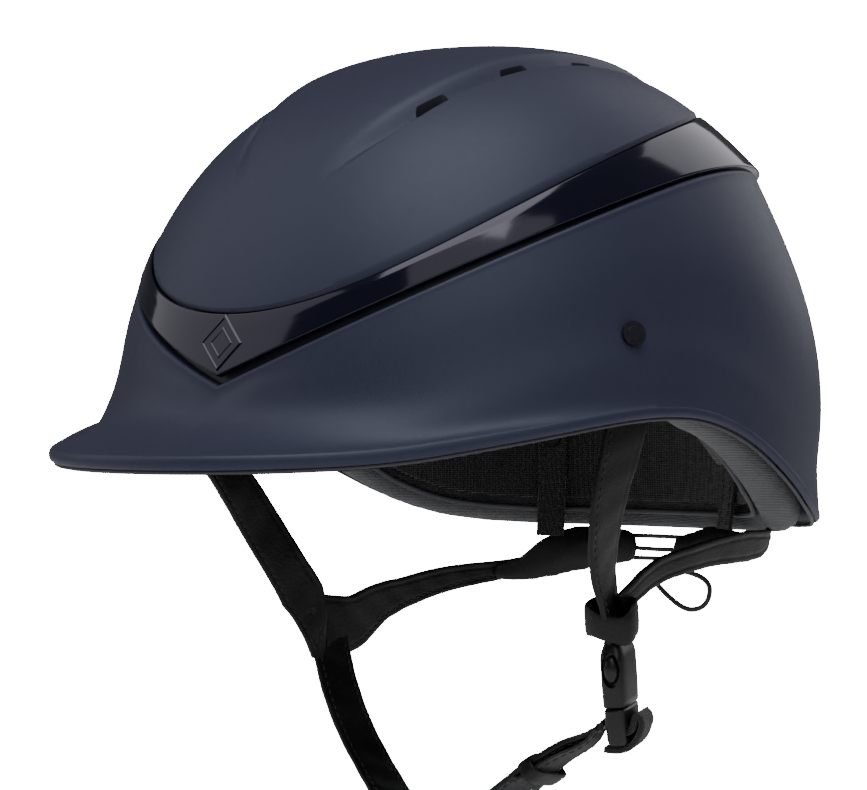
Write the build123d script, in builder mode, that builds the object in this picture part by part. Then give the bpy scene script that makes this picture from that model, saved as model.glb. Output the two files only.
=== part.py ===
from build123d import *
from math import atan2, cos, degrees, pi, radians, sin, tan
import os

os.makedirs("parts", exist_ok=True)

# Equestrian riding helmet, adult medium (57 cm head). Millimetres.
# Front is -Y, the wearer's left is +X, up is +Z. The origin is the centre of
# the head opening on the brim plane.

# ---- hard shell ----------------------------------------------------------
HALF_WIDTH = 106.0
FRONT_LENGTH = 131.0
REAR_LENGTH = 117.0
AXIS_Y = 9.0
SHELL_HEIGHT = 131.7
PLAN_POWER_FRONT = 2.28
PLAN_POWER_REAR = 2.05
WALL_POWER = 2.40
WALL_POWER_DROP_FRONT = 0.26
SHELL_THICKNESS = 3.2

# ---- brim and rim --------------------------------------------------------
PEAK_REACH = 35.0
PEAK_POWER = 7
PEAK_FLARE = 6.0
LIP_THICKNESS = 4.6
RIM_HEIGHTS = [
    (0, -3.4), (16, -2.8), (29, -0.8), (42, 4.0), (56, 9.0), (65, 11.4), (72, 12.0),
    (80, 11.0), (89, 7.0), (96, 1.8), (103, -4.6), (111, -11.8), (119, -18.4),
    (131, -24.4), (146, -27.0), (163, -27.6), (180, -27.8),
]

# ---- trim band and the two edges it runs between -------------------------
BAND_LOW_TIP = 25.0
BAND_LOW_SIDE_RISE = 0.36
BAND_LOW_REAR_RISE = 0.26
BAND_LOW_SOFTNESS = 40.0
BAND_TOP_FRONT = 45.0
BAND_TOP_REAR_RISE = 0.338
BAND_TOP_CURVE = 0.0029
BAND_GAP_FRONT = 2.8
BAND_GAP_REAR = 1.4
BAND_PROUD = 0.5
BAND_REAR_FLARE = 4.2
BAND_THICKNESS = 2.4
FRAME_DEPTH = 3.6
FRAME_THICKNESS = 2.4

# ---- crown ----------------------------------------------------------------
CROWN_THICKNESS = 3.0
PLATEAU_STEP = 1.3
PLATEAU_EDGE = [
    (0, -101), (14, -97), (25.6, -83.6), (33.5, -67), (38.5, -40),
    (40.2, -10), (38.8, 17), (33, 60), (24, 120),
]
SLOT_LENGTH = 12.0
SLOT_WIDTH = 3.4
SLOTS = [(37.2, -57.5, 13.0), (41.6, -22.0, 3.0), (40.6, 14.0, -4.0)]

# ---- liner, padding and headband ------------------------------------------
LINER_OUTER = -6.3
LINER_INNER = -22.0
LINER_SPLIT = 50.0
PADDING_DEPTH = 20.2
PIPING_DIAMETER = 2.0
BINDING_DIAMETER = 1.3
HEADBAND_THICKNESS = 5.0
HEADBAND_END = 110.0

# ---- straps and buckle -----------------------------------------------------
STRAP_WIDTH = 15.0
STRAP_THICKNESS = 2.2
REAR_STRAP_WIDTH = 8.5
RIVET_Z = 38.0
RIVET_RADIUS = 1.9
WASHER_DEPTH = -8.6
RIVET_ANGLE = 65.2
BUCKLE_ORIGIN = (79.3, -19.6, -60.0)
BUCKLE_LEAN = 6.0
BUCKLE_TURN = 24.0
BUCKLE_WIDTH = 21.0
BUCKLE_DEPTH = 8.4
PRONG_OFFSET = BUCKLE_WIDTH / 2 - 4.6
PRONG_PIVOT = 22.5
SOCKET_LENGTH = 20.0
TONGUE_LENGTH = 12.0
LACE_DIAMETER = 1.9


def mix(table, angle):
    """Smooth value from a short table of (angle, value) rows, symmetric at both ends."""
    angle = abs(angle)
    angle = 360 - angle if angle > 180 else angle
    rows = [(-table[1][0], table[1][1])] + list(table)
    rows.append((360 - table[-2][0], table[-2][1]))
    for i in range(1, len(rows) - 2):
        if angle <= rows[i + 1][0]:
            break
    (x0, y0), (x1, y1), (x2, y2), (x3, y3) = rows[i - 1:i + 3]
    t = (angle - x1) / (x2 - x1)
    m1 = (y2 - y0) / (x2 - x0) * (x2 - x1)
    m2 = (y3 - y1) / (x3 - x1) * (x2 - x1)
    a = 2 * t**3 - 3 * t**2 + 1
    b = t**3 - 2 * t**2 + t
    return a * y1 + b * m1 + (1 - a) * y2 + (t**3 - t**2) * m2


def plan_radius(angle, d=0.0):
    """Distance from the crown axis to the wall at its widest, at a plan angle from the front."""
    s = abs(sin(radians(angle)))
    c = cos(radians(angle))
    power = PLAN_POWER_FRONT if c > 0 else PLAN_POWER_REAR
    length = (FRONT_LENGTH if c > 0 else REAR_LENGTH) + d
    return ((s / (HALF_WIDTH + d)) ** power + (abs(c) / length) ** power) ** (-1 / power)


def wall_radius(angle, z, d=0.0):
    """Distance from the crown axis to the wall at height z, offset d outwards."""
    c = max(cos(radians(angle)), 0.0)
    n = WALL_POWER - WALL_POWER_DROP_FRONT * c * c
    up = min(abs(z) / (SHELL_HEIGHT + d), 1.0)
    return plan_radius(angle, d) * (1 - up**n) ** (1 / n)


def peak(angle):
    """How far the brim stands out of the wall."""
    c = max(cos(radians(angle)), 0.0)
    return PEAK_REACH * c**PEAK_POWER + PEAK_FLARE * c + 1.0


def rim(angle):
    return mix(RIM_HEIGHTS, angle)


def solve_height(angle, d, rule):
    """Height where the wall meets a sloping edge rule(x, y)."""
    z = 60.0
    for _ in range(60):
        r = wall_radius(angle, z, d)
        x = r * sin(radians(angle))
        y = AXIS_Y - r * cos(radians(angle))
        z = 0.6 * z + 0.4 * rule(x, y)
    return z


def band_low(x, y):
    """Lower edge of the band: creased at the front, rounded at the back."""
    soft = BAND_LOW_SOFTNESS * min(max(y / 110, 0.0), 1.0) ** 2
    rise = x if soft == 0 else (x * x + soft * soft) ** 0.5 - soft
    return BAND_LOW_TIP + BAND_LOW_SIDE_RISE * rise + BAND_LOW_REAR_RISE * (y + 120)


def band_top(x, y):
    return BAND_TOP_FRONT + BAND_TOP_CURVE * x * x + BAND_TOP_REAR_RISE * (y + 116)


def shell_top(x, y):
    share = min(max((y + 120) / 230, 0.0), 1.0)
    return band_low(x, y) - BAND_GAP_FRONT * (1 - share) - BAND_GAP_REAR * share


def radial_plane(angle):
    a = radians(angle)
    return Plane(origin=(0, AXIS_Y, 0), x_dir=(sin(a), -cos(a), 0), z_dir=(-cos(a), -sin(a), 0))


HALF_TURN = (-6, 0, 16, 29, 42, 56, 65, 72, 80, 89, 96, 103, 111, 119, 131, 146, 163, 180, 188)
REAR_TURN = (72, 80, 89, 96, 103, 111, 119, 131, 146, 163, 180, 188)


def ring_solid(outline, angles=HALF_TURN):
    """Half ring lofted through radial outlines, trimmed at the middle plane and mirrored."""
    with BuildPart() as half:
        for angle in angles:
            with BuildSketch(radial_plane(angle)):
                with BuildLine():
                    outline(angle)
                make_face()
        loft()
        split(bisect_by=Plane.YZ, keep=Keep.TOP)
    with BuildPart(mode=Mode.PRIVATE) as ring:
        add(half.part)
        mirror(half.part, about=Plane.YZ)
    return ring.part


def dome_solid(d, z_low):
    """Closed dome of the shell's form, offset d outwards, flat at z_low."""
    top = SHELL_HEIGHT + d
    steps = [z_low + (top * 0.5 - z_low) * i / 3 for i in range(4)]
    steps += [top * sin(radians(a)) for a in (38, 46, 54, 61, 67, 72, 77, 81, 84.5, 87, 89)]
    with BuildPart() as dome:
        for z in steps:
            with BuildSketch(Plane.XY.offset(z)):
                with BuildLine():
                    points = []
                    for i in range(32):
                        angle = i * 11.25
                        signed = angle if angle <= 180 else 360 - angle
                        r = wall_radius(signed, z, d)
                        a = radians(angle)
                        points.append((r * sin(a), AXIS_Y - r * cos(a)))
                    Spline(*points, periodic=True)
                make_face()
        loft()
    return dome.part


def strip_solid(stations, width, thickness):
    """Flat strap lofted through stations of (point, width direction)."""
    count = len(stations)
    with BuildPart() as strip:
        for i, (point, across) in enumerate(stations):
            before = Vector(*stations[max(i - 1, 0)][0])
            after = Vector(*stations[min(i + 1, count - 1)][0])
            along = (after - before).normalized()
            side = Vector(*across)
            side = (side - along * side.dot(along)).normalized()
            w = width[i] if isinstance(width, (list, tuple)) else width
            t = thickness[i] if isinstance(thickness, (list, tuple)) else thickness
            with BuildSketch(Plane(origin=point, x_dir=side, z_dir=along)):
                RectangleRounded(w, t, t * 0.42)
        loft()
    return strip.part


def finish(part, name):
    part.label = name
    export_step(part, f"parts/{name}.step")
    print(name, "solids", len(part.solids()), "volume", round(part.volume, 1), "valid", part.is_valid)


# ---- hard shell pieces -----------------------------------------------------
def lower_shell_outline(angle):
    low = rim(angle)
    top = solve_height(angle, 0, shell_top)
    p = peak(angle)
    t = SHELL_THICKNESS
    base = wall_radius(angle, low)
    lip = base + p
    room = min(1.0, (top - low - 8) / 20)
    blend = min(low + 8 + 19 * room, top - 5)
    mid = (blend + top - 1.6) / 2
    ledge = min(1.0, (p - 1) / 14) ** 0.7
    lip_top = LIP_THICKNESS * ledge + 2.9 * (1 - ledge)
    outer = [
        (wall_radius(angle, top - 1.6), top - 1.6),
        (wall_radius(angle, mid), mid),
        (wall_radius(angle, blend) + 0.01 * p, blend),
        (base + 0.06 * p, low + 6.5 + 11 * room),
        (base + 0.22 * p, low + 5.5 + 6.5 * room),
        (base + 0.52 * p, low + LIP_THICKNESS + 2.6 * room * p / 42 + 1.6 * (1 - ledge)),
        (lip - 0.25 - 1.35 * ledge, low + lip_top),
    ]
    inner = [
        (lip - 1.6, low),
        (lip - 3.2, low + 0.1),
        (base + 0.5 * p - t, low + 3.4),
        (wall_radius(angle, low + 9.5) + 0.12 * p - t, low + 9.5),
        (wall_radius(angle, blend, -t), blend),
        (wall_radius(angle, mid, -t), mid),
        (wall_radius(angle, top, -t), top),
    ]
    Spline(*outer)
    ThreePointArc(outer[-1], (lip, low + lip_top / 2), inner[0])
    Spline(*inner)
    edge = (wall_radius(angle, top) - 1.6, top)
    Line(inner[-1], edge)
    ThreePointArc(edge, (wall_radius(angle, top - 0.5) - 0.45, top - 0.5), outer[0])


def band_outline(angle):
    high = solve_height(angle, 0, band_top) - 0.5
    low = solve_height(angle, 0, band_low)
    c = -cos(radians(angle))
    flare = BAND_REAR_FLARE * max(c + 0.35, 0.0) ** 1.5 / 1.57
    t = BAND_THICKNESS
    outer = []
    for i in range(5):
        share = i / 4
        z = high + (low - high) * share
        d = BAND_PROUD * min(1.0, 4 * share + 0.2) + flare * share**2
        outer.append((wall_radius(angle, z) + d, z))
    inner = [(r - t * (0.8 + 0.2 * i / 4), z - 0.4 * (1 - i / 4)) for i, (r, z) in enumerate(outer)]
    Spline(*outer)
    Line(outer[-1], inner[-1])
    Spline(*reversed(inner))
    Line(inner[0], outer[0])


def frame_outline(angle):
    high = solve_height(angle, -FRAME_DEPTH, band_top) + 7
    low = solve_height(angle, -FRAME_DEPTH, shell_top) - 7
    outer = []
    inner = []
    for i in range(5):
        z = high + (low - high) * i / 4
        outer.append((wall_radius(angle, z, -FRAME_DEPTH), z))
        inner.append((wall_radius(angle, z, -FRAME_DEPTH - FRAME_THICKNESS), z))
    Spline(*outer)
    Line(outer[-1], inner[-1])
    Spline(*reversed(inner))
    Line(inner[0], outer[0])


def under_parabola(lift, reach):
    """Everything below the trim band's upper edge rule, raised by lift."""
    along = Vector(0, 1, BAND_TOP_REAR_RISE).normalized()
    with BuildPart() as below:
        with BuildSketch(Plane(origin=(0, -200, 0), x_dir=(1, 0, 0), z_dir=(0, -1, 0))):
            with BuildLine():
                z0 = BAND_TOP_FRONT + BAND_TOP_REAR_RISE * (-200 + 116) + lift
                arch = [(x, z0 + BAND_TOP_CURVE * x * x) for x in (-150, -100, -50, 0, 50, 100, 150)]
                Spline(*arch)
                Polyline(arch[-1], (150, z0 - 200), (-150, z0 - 200), arch[0])
            make_face()
        extrude(amount=reach, dir=along)
    return below.part


def make_crown_shell():
    plateau = dome_solid(PLATEAU_STEP, 40)
    dome = dome_solid(0, 10)
    hollow = dome_solid(-CROWN_THICKNESS, 5)
    below = under_parabola(0, 460)
    with BuildPart() as crown:
        add(plateau)
        with BuildSketch(Plane.XY.offset(40)):
            with BuildLine():
                Spline(*PLATEAU_EDGE)
                Polyline(PLATEAU_EDGE[-1], (0, PLATEAU_EDGE[-1][1]), PLATEAU_EDGE[0])
            make_face()
            mirror(about=Plane.YZ)
        extrude(amount=120, dir=(0, 0, 1), mode=Mode.INTERSECT)
        add(dome)
        add(hollow, mode=Mode.SUBTRACT)
        add(below, mode=Mode.SUBTRACT)
        for x, y, turn in SLOTS:
            for side in (-1, 1):
                with BuildSketch(Plane.XY.offset(90)):
                    with Locations((side * x, y)):
                        SlotOverall(SLOT_LENGTH, SLOT_WIDTH, rotation=90 - side * turn)
                extrude(amount=60, mode=Mode.SUBTRACT)
    return crown.part


def make_badge():
    normal = Vector(0, -0.972, 0.236)
    face = Plane(origin=Vector(0, -119.9, 35.6), x_dir=(1, 0, 0), z_dir=normal)
    with BuildPart() as badge:
        with BuildSketch(face.offset(-0.4)):
            Polygon((-8.6, 0), (0, -8.4), (8.6, 0), (0, 8.4))
            fillet(vertices(), 0.9)
        extrude(amount=1.9)
        with BuildSketch(face.offset(1.5)):
            Polygon((-7.0, 0), (0, -6.8), (7.0, 0), (0, 6.8))
        extrude(amount=-0.6, mode=Mode.SUBTRACT)
        with BuildSketch(face.offset(0.9)):
            Polygon((-3.6, 0), (0, -3.5), (3.6, 0), (0, 3.5))
        extrude(amount=0.6, taper=35)
    return badge.part


# ---- inside pieces ---------------------------------------------------------
def make_liner_lower():
    """Side and rear foam, open at the top, with a pocket for each front strap."""
    block = dome_solid(LINER_OUTER, -30)
    hollow = dome_solid(LINER_INNER, -31)
    trim = ring_solid(liner_trim_outline)
    with BuildPart() as liner:
        add(block)
        add(hollow, mode=Mode.SUBTRACT)
        add(trim, mode=Mode.SUBTRACT)
        for side in (-1, 1):
            x, y, _ = wall_point(side, RIVET_ANGLE, RIVET_Z, -6)
            with BuildSketch(Plane(origin=(x, y, -20), x_dir=(side * 0.907, -0.42, 0), z_dir=(0, 0, 1))):
                Rectangle(12, 24)
            extrude(amount=72, mode=Mode.SUBTRACT)
        split(bisect_by=Plane.XY.offset(LINER_SPLIT), keep=Keep.BOTTOM)
    return liner.part


def make_liner_crown():
    """Foam cap that closes the liner over the head."""
    block = dome_solid(LINER_OUTER, LINER_SPLIT)
    hollow = dome_solid(LINER_INNER, LINER_SPLIT - 1)
    with BuildPart() as liner:
        add(block)
        add(hollow, mode=Mode.SUBTRACT)
    return liner.part


def liner_trim_outline(angle):
    z = rim(angle) + 9
    Polyline((20, z), (150, z), (150, -70), (20, -70), (20, z))


def padding_outline(angle):
    low = rim(angle)
    r = wall_radius(angle, low)
    Polyline(
        (r - 4.2, low + 8.4), (r - 4.2, low + 1.2), (r - 6.5, low - 1.6), (r - 13, low - 1.2),
        (r - PADDING_DEPTH + 0.6, low + 2.4), (r - PADDING_DEPTH, low + 8.4), (r - 4.2, low + 8.4),
    )


def bead_solid(line, diameter, angles):
    """Round bead along line(angle) on the wearer's left, then mirrored."""
    points = []
    for angle in angles:
        r, z = line(angle)
        points.append((r * sin(radians(angle)), AXIS_Y - r * cos(radians(angle)), z))
    start = Vector(*points[1]) - Vector(*points[0])
    ends = [(1, 0, 0) if angles[0] == 0 else start, (-1, 0, 0)]
    with BuildPart() as half:
        with BuildLine() as path:
            Spline(*points, tangents=ends)
        with BuildSketch(Plane(origin=path.line @ 0, z_dir=path.line % 0)):
            Circle(diameter / 2)
        sweep()
    with BuildPart(mode=Mode.PRIVATE) as bead:
        add(half.part)
        mirror(half.part, about=Plane.YZ)
    return bead.part


def piping_line(angle):
    low = rim(angle)
    return wall_radius(angle, low) - PADDING_DEPTH - 1.15, low + 3.4


def binding_line(angle):
    return wall_radius(angle, rim(angle)) + peak(angle) - 2.6, rim(angle) - 0.75


def lining_outline(angle):
    low = rim(angle)
    base = wall_radius(angle, low)
    p = peak(angle)
    t = SHELL_THICKNESS
    top = [
        (base + p - 3.9, low - 0.25),
        (base + 0.5 * p - t - 0.2, low + 2.9),
        (wall_radius(angle, low + 9.5) + 0.12 * p - t - 0.5, low + 8.6),
    ]
    bottom = [(r - 0.3, z - 1.2) for r, z in top]
    Spline(*top)
    Line(top[-1], bottom[-1])
    Spline(*reversed(bottom))
    Line(bottom[0], top[0])


def headband_outline(angle):
    low = max(rim(angle) + 6.0, -9.0)
    high = 30.0
    a = LINER_INNER - 1.1
    b = a - HEADBAND_THICKNESS
    zs = [high + (low - high) * i / 3 for i in range(4)]
    Spline(*[(wall_radius(angle, z, a), z) for z in zs])
    Line((wall_radius(angle, low, a), low), (wall_radius(angle, low, b) + 1, low))
    Spline(*[(wall_radius(angle, z, b) + (1 if i == 0 else 0), z) for i, z in enumerate(reversed(zs))])
    Line((wall_radius(angle, high, b), high), (wall_radius(angle, high, a), high))


def make_crown_pad():
    block = dome_solid(LINER_INNER - 0.4, 30)
    hollow = dome_solid(LINER_INNER - 5.4, 28)
    with BuildPart() as pad:
        add(block)
        add(hollow, mode=Mode.SUBTRACT)
        with BuildSketch(Plane.XY.offset(60)):
            with Locations((0, 12)):
                RectangleRounded(26, 120, 10)
            with Locations((-42, 12), (42, 12)):
                RectangleRounded(22, 84, 9)
        extrude(amount=70, mode=Mode.INTERSECT)
    return pad.part


# ---- harness ----------------------------------------------------------------
def rivet_plane(side):
    r = wall_radius(RIVET_ANGLE, RIVET_Z)
    a = radians(RIVET_ANGLE)
    out = Vector(side * 0.915, -0.352, 0.2).normalized()
    return Plane(origin=(side * r * sin(a), AXIS_Y - r * cos(a), RIVET_Z), x_dir=(0, 0, 1), z_dir=out)


def make_rivets():
    with BuildPart() as rivets:
        for side in (-1, 1):
            seat = rivet_plane(side)
            with BuildSketch(seat.offset(0.9)):
                Circle(4.0)
            extrude(amount=1.1)
            with BuildSketch(seat.offset(1.6)):
                Circle(2.6)
            extrude(amount=0.7, taper=30)
            with BuildSketch(seat.offset(WASHER_DEPTH)):
                Circle(RIVET_RADIUS)
            extrude(amount=10)
    return rivets.part


def make_washers():
    with BuildPart() as washers:
        for side in (-1, 1):
            with BuildSketch(rivet_plane(side).offset(WASHER_DEPTH)):
                Circle(5.5)
                Circle(RIVET_RADIUS + 0.1, mode=Mode.SUBTRACT)
            extrude(amount=1.0)
    return washers.part


def with_rivet_holes(piece, radius, sides=(-1, 1)):
    """The piece with a hole drilled along each rivet."""
    with BuildPart() as holed:
        add(piece)
        for side in sides:
            with BuildSketch(rivet_plane(side).offset(-12)):
                Circle(radius)
            extrude(amount=20, mode=Mode.SUBTRACT)
    return holed.part


def buckle_plane(drop=0.0):
    """Buckle frame: x across the buckle to the rear, y outwards, z down the strap."""
    a = radians(BUCKLE_LEAN)
    down = Vector(0, sin(a), -cos(a))
    b = radians(BUCKLE_TURN)
    out = Vector(cos(b), sin(b), 0)
    out = (out - down * out.dot(down)).normalized()
    across = out.cross(down)
    return Plane(origin=Vector(*BUCKLE_ORIGIN) + down * drop, x_dir=across, z_dir=down)


def make_socket():
    w = BUCKLE_WIDTH
    with BuildPart() as socket:
        with BuildSketch(buckle_plane(0)):
            RectangleRounded(w, BUCKLE_DEPTH, 3.2)
        extrude(amount=SOCKET_LENGTH)
        with BuildSketch(buckle_plane(-4.2)):
            with Locations((-w / 2 + 1.7, 0), (w / 2 - 1.7, 0)):
                RectangleRounded(2.4, 5.0, 1.1)
        extrude(amount=5)
        with BuildSketch(buckle_plane(-4.2)):
            RectangleRounded(w - 2, 3.0, 1.2)
        extrude(amount=2.2)
        with BuildSketch(buckle_plane(3)):
            Rectangle(w - 3.0, BUCKLE_DEPTH - 3.2)
        extrude(amount=SOCKET_LENGTH, mode=Mode.SUBTRACT)
        with BuildSketch(buckle_plane(4.5)):
            Rectangle(w + 6, 5.2)
        extrude(amount=9.5, mode=Mode.SUBTRACT)
    return socket.part


def make_tongue():
    w = BUCKLE_WIDTH
    with BuildPart() as tongue:
        with BuildSketch(buckle_plane(SOCKET_LENGTH + 0.4)):
            RectangleRounded(w, BUCKLE_DEPTH - 0.6, 3.0)
        extrude(amount=TONGUE_LENGTH)
        with BuildSketch(buckle_plane(6)):
            Rectangle(3.0, 3.4)
        extrude(amount=SOCKET_LENGTH - 5)
        side = buckle_plane(SOCKET_LENGTH + 0.4 + 8.0)
        with BuildSketch(Plane(origin=side.origin - side.y_dir * 10, x_dir=side.x_dir, z_dir=side.y_dir)):
            RectangleRounded(w - 4.6, 4.6, 1.4)
        extrude(amount=20, mode=Mode.SUBTRACT)
        with BuildSketch(buckle_plane(SOCKET_LENGTH - 1)):
            with Locations((-PRONG_OFFSET, 0), (PRONG_OFFSET, 0)):
                Rectangle(4.6, 5.4)
        extrude(amount=5.6, mode=Mode.SUBTRACT)
    return tongue.part


def make_prong(side):
    """Spring arm of the tongue with its pivot across the buckle's thickness and its side button."""
    root = buckle_plane(PRONG_PIVOT)
    pivot = Plane(origin=root.origin + root.x_dir * side * PRONG_OFFSET, x_dir=root.x_dir, z_dir=root.y_dir)
    with BuildPart() as prong:
        with BuildSketch(pivot):
            Circle(1.6)
        extrude(amount=2.3, both=True)
        with BuildSketch(buckle_plane(5.4)):
            with Locations((side * PRONG_OFFSET, 0)):
                Rectangle(2.0, 4.6)
        extrude(amount=PRONG_PIVOT - 5.4)
        with BuildSketch(buckle_plane(5.4)):
            with Locations((side * (PRONG_OFFSET + 2.7), 0)):
                RectangleRounded(5.6, 4.6, 1.2)
        extrude(amount=7.8)
    return prong.part


def wall_point(side, angle, z, d):
    r = wall_radius(angle, z, d)
    return (side * r * sin(radians(angle)), AXIS_Y - r * cos(radians(angle)), z)


STRAP_INSIDE = -SHELL_THICKNESS - STRAP_THICKNESS / 2 - 1.5

STRAP_HEIGHTS = (48, 38, 27, 14)
FRONT_LEFT = [(wall_point(1, RIVET_ANGLE, z, STRAP_INSIDE), (0.36, 0.93, 0)) for z in STRAP_HEIGHTS] + [
    ((92.3, -39.0, -12), (0.1, 1, 0)), ((86.0, -34.5, -33), (-0.15, 0.98, 0.1)),
    ((82.4, -28.4, -43.6), (-0.35, 0.9, 0.2)), ((80.3, -23.2, -51.4), (-0.4, 0.9, 0.1)),
]
FRONT_RIGHT = [(wall_point(-1, RIVET_ANGLE, z, STRAP_INSIDE), (-0.36, 0.93, 0)) for z in STRAP_HEIGHTS] + [
    ((-90.5, -24.0, -8), (0.1, 0.9, 0.3)), ((-85.5, -12.0, -27), (0.4, 0.78, 0.44)),
    ((-79.5, -3.5, -44), (0.5, 0.7, 0.5)), ((-75.0, 2.6, -58), (0.54, 0.66, 0.5)),
]
REAR_LEFT = [
    ((81.9, -15.0, -44.0), (0.1, 0.3, 1)), ((81.6, -5, -39.4), (0.1, 0.3, 1)),
    ((80.4, 14, -35.4), (0.1, 0.1, 1)), ((76.5, 40, -33.0), (0.1, 0.1, 1)),
    ((71.5, 62, -32.6), (0.1, 0.1, 1)), ((66.4, 75.6, -32.8), (0.1, 0.1, 1)),
]
REAR_RIGHT = [
    ((-73.6, 22.0, -62.5), (0, -0.1, 1)), ((-73.8, 34, -57.5), (0, -0.2, 1)),
    ((-73.0, 50, -53), (0, -0.1, 1)), ((-70.0, 65, -49.6), (0, -0.1, 1)), ((-65.6, 75.6, -47.8), (0, 0, 1)),
]
REAR_RIGHT_WIDTHS = [20, 15, 11.5, 9, 7.5]
JUNCTION = [
    ((-74.4, 4.6, -60.2), (0.5, 0.7, 0.45)), ((-74.0, 7.4, -63), (0.4, 0.8, 0.35)),
    ((-73.0, 9.2, -67.5), (0.3, 0.9, 0.2)), ((-72.2, 9.9, -72.6), (0.2, 0.95, 0.1)),
]
CHIN = [
    ((72.2, -18.2, -87.4), (-0.4, 0.9, 0.1)), ((65.5, -26.0, -93.4), (-0.2, 0.9, -0.1)),
    ((52, -33.5, -104.5), (0, 0.9, -0.2)), ((29, -33.0, -119.0), (0, 1, -0.1)),
    ((0, -17, -127), (0, 1, 0)), ((-28, 1.5, -125.5), (0, 1, 0.1)),
    ((-48.5, 11.5, -116), (0.1, 1, 0.2)), ((-61, 13.4, -102.5), (0.15, 1, 0.2)),
    ((-68.2, 12.0, -88), (0.2, 1, 0.15)), ((-71.8, 10.4, -74.2), (0.2, 1, 0.1)),
]
CHIN_LAYER = [
    ((71.4, -21.0, -90.8), (-0.3, 0.9, 0)), ((64.6, -27.4, -97.0), (-0.2, 0.9, -0.1)),
    ((53.4, -34.0, -106.8), (0, 0.9, -0.2)),
]
KEEPER = [((60.0, -30.0, -99.6), (-0.1, 0.9, -0.15)), ((55.6, -32.6, -103.2), (0, 0.9, -0.2))]
LOOP_TAB = [((82.2, -27.9, -44.4), (-0.36, 0.9, 0.19)), ((80.6, -24.0, -50.2), (-0.39, 0.9, 0.11))]


def sleeve_solid(stations, outer, inner):
    """Flat loop round a strap: two stations, outer and inner (width, thickness)."""
    count = len(stations)
    with BuildPart() as sleeve:
        for size, mode in ((outer, Mode.ADD), (inner, Mode.SUBTRACT)):
            along = (Vector(*stations[-1][0]) - Vector(*stations[0][0])).normalized()
            extra = 0.0 if mode == Mode.ADD else 1.0
            for i, (point, across) in enumerate(stations):
                side = Vector(*across)
                side = (side - along * side.dot(along)).normalized()
                at = Vector(*point) + along * extra * (2 * i / (count - 1) - 1)
                with BuildSketch(Plane(origin=at, x_dir=side, z_dir=along)):
                    RectangleRounded(size[0], size[1], size[1] * 0.3)
            loft(mode=mode)
    return sleeve.part


LEFT_PAD = [
    (140, 96.0, -33.0, 7.0, 3.2), (147, 91.5, -33.4, 9.5, 4.6), (154, 89.4, -34.2, 12.6, 5.6),
    (163, 89.6, -35.0, 14.5, 5.0), (172, 90.4, -37.4, 12.0, 3.2),
]
RIGHT_PAD = [
    (140, 95.0, -47.2, 7.0, 3.2), (147, 91.5, -45.6, 10.0, 4.6), (154, 89.4, -41.0, 16.0, 5.6),
    (163, 89.6, -37.4, 18.0, 5.0), (172, 90.4, -36.8, 14.5, 3.2),
]
PAD_FACE_Y = 100.6
LACE_HEIGHTS = (-33.3, -37.2, -41.1)
LACE_X = 17.0


def make_nape_pad(side, rows):
    stations = []
    for angle, r, z, _, _ in rows:
        a = radians(angle)
        stations.append(((side * r * sin(a), AXIS_Y - r * cos(a), z), (0, 0, 1)))
    return strip_solid(stations, [row[3] for row in rows], [row[4] for row in rows])


def make_hangers():
    webs = []
    for side, low in ((1, -26.6), (-1, -29.0)):
        rows = ((low, -25.3), (-16, -24.7), (-4, -24.4), (6, -24.4))
        points = [wall_point(side, 154, z, d) for z, d in rows]
        webs.append(strip_solid([(p, (1, -0.5 * side, 0)) for p in points], 13, 1.6))
    with BuildPart() as hangers:
        add(webs)
    return hangers.part


def make_hanger_screws():
    with BuildPart() as screws:
        for side in (-1, 1):
            x, y, z = wall_point(side, 154, 1.0, -25.1)
            out = Vector(side * 0.44, 0.9, 0)
            with BuildSketch(Plane(origin=(x, y, z), x_dir=(0, 0, 1), z_dir=out)):
                Circle(3.4)
            extrude(amount=-1.2, taper=25)
    return screws.part


def make_eyelets():
    with BuildPart() as eyelets:
        for side in (-1, 1):
            for z in LACE_HEIGHTS:
                face = Plane(origin=(side * LACE_X, PAD_FACE_Y, z), x_dir=(1, 0, 0), z_dir=(0, 1, 0))
                with BuildSketch(face):
                    Circle(1.75)
                    Circle(1.1, mode=Mode.SUBTRACT)
                extrude(amount=0.8)
    return eyelets.part


def tube_solid(points, diameter, radii):
    with BuildPart() as tube:
        with BuildLine() as path:
            FilletPolyline(*points, radius=radii)
        start = path.line @ 0
        with BuildSketch(Plane(origin=start, z_dir=path.line % 0)):
            Circle(diameter / 2)
        sweep()
    print("tube volume", round(tube.part.volume, 1), "section x length",
          round(pi * diameter**2 / 4 * sum(e.length for e in path.edges()), 1))
    return tube.part


def bend_radii(points):
    """Arc radius at each inner corner: 0.45 of the shorter run over tan(half turn)."""
    radii = []
    for a, b, c in zip(points, points[1:], points[2:]):
        one = Vector(*b) - Vector(*a)
        two = Vector(*c) - Vector(*b)
        turn = radians(one.get_angle(two))
        radii.append(0.45 * min(one.length, two.length) / tan(turn / 2))
    print("bend radii", [round(r, 1) for r in radii])
    return radii


def make_nape_lace():
    y = PAD_FACE_Y + 1.8
    points = []
    for i, z in enumerate(LACE_HEIGHTS):
        ends = (-LACE_X, LACE_X) if i % 2 == 0 else (LACE_X, -LACE_X)
        points += [(x, y, z) for x in ends]
    return tube_solid(points, 1.6, 1.85)


def make_lace_loop():
    y = PAD_FACE_Y + 2.4
    points = [
        (-8.2, y, -44.6), (4.6, y + 2, -59.0), (18.0, y + 3, -58.0),
        (19.4, y + 3, -46.0), (4.0, y + 2.4, -45.0),
    ]
    return tube_solid(points, LACE_DIAMETER, bend_radii(points))


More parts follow.
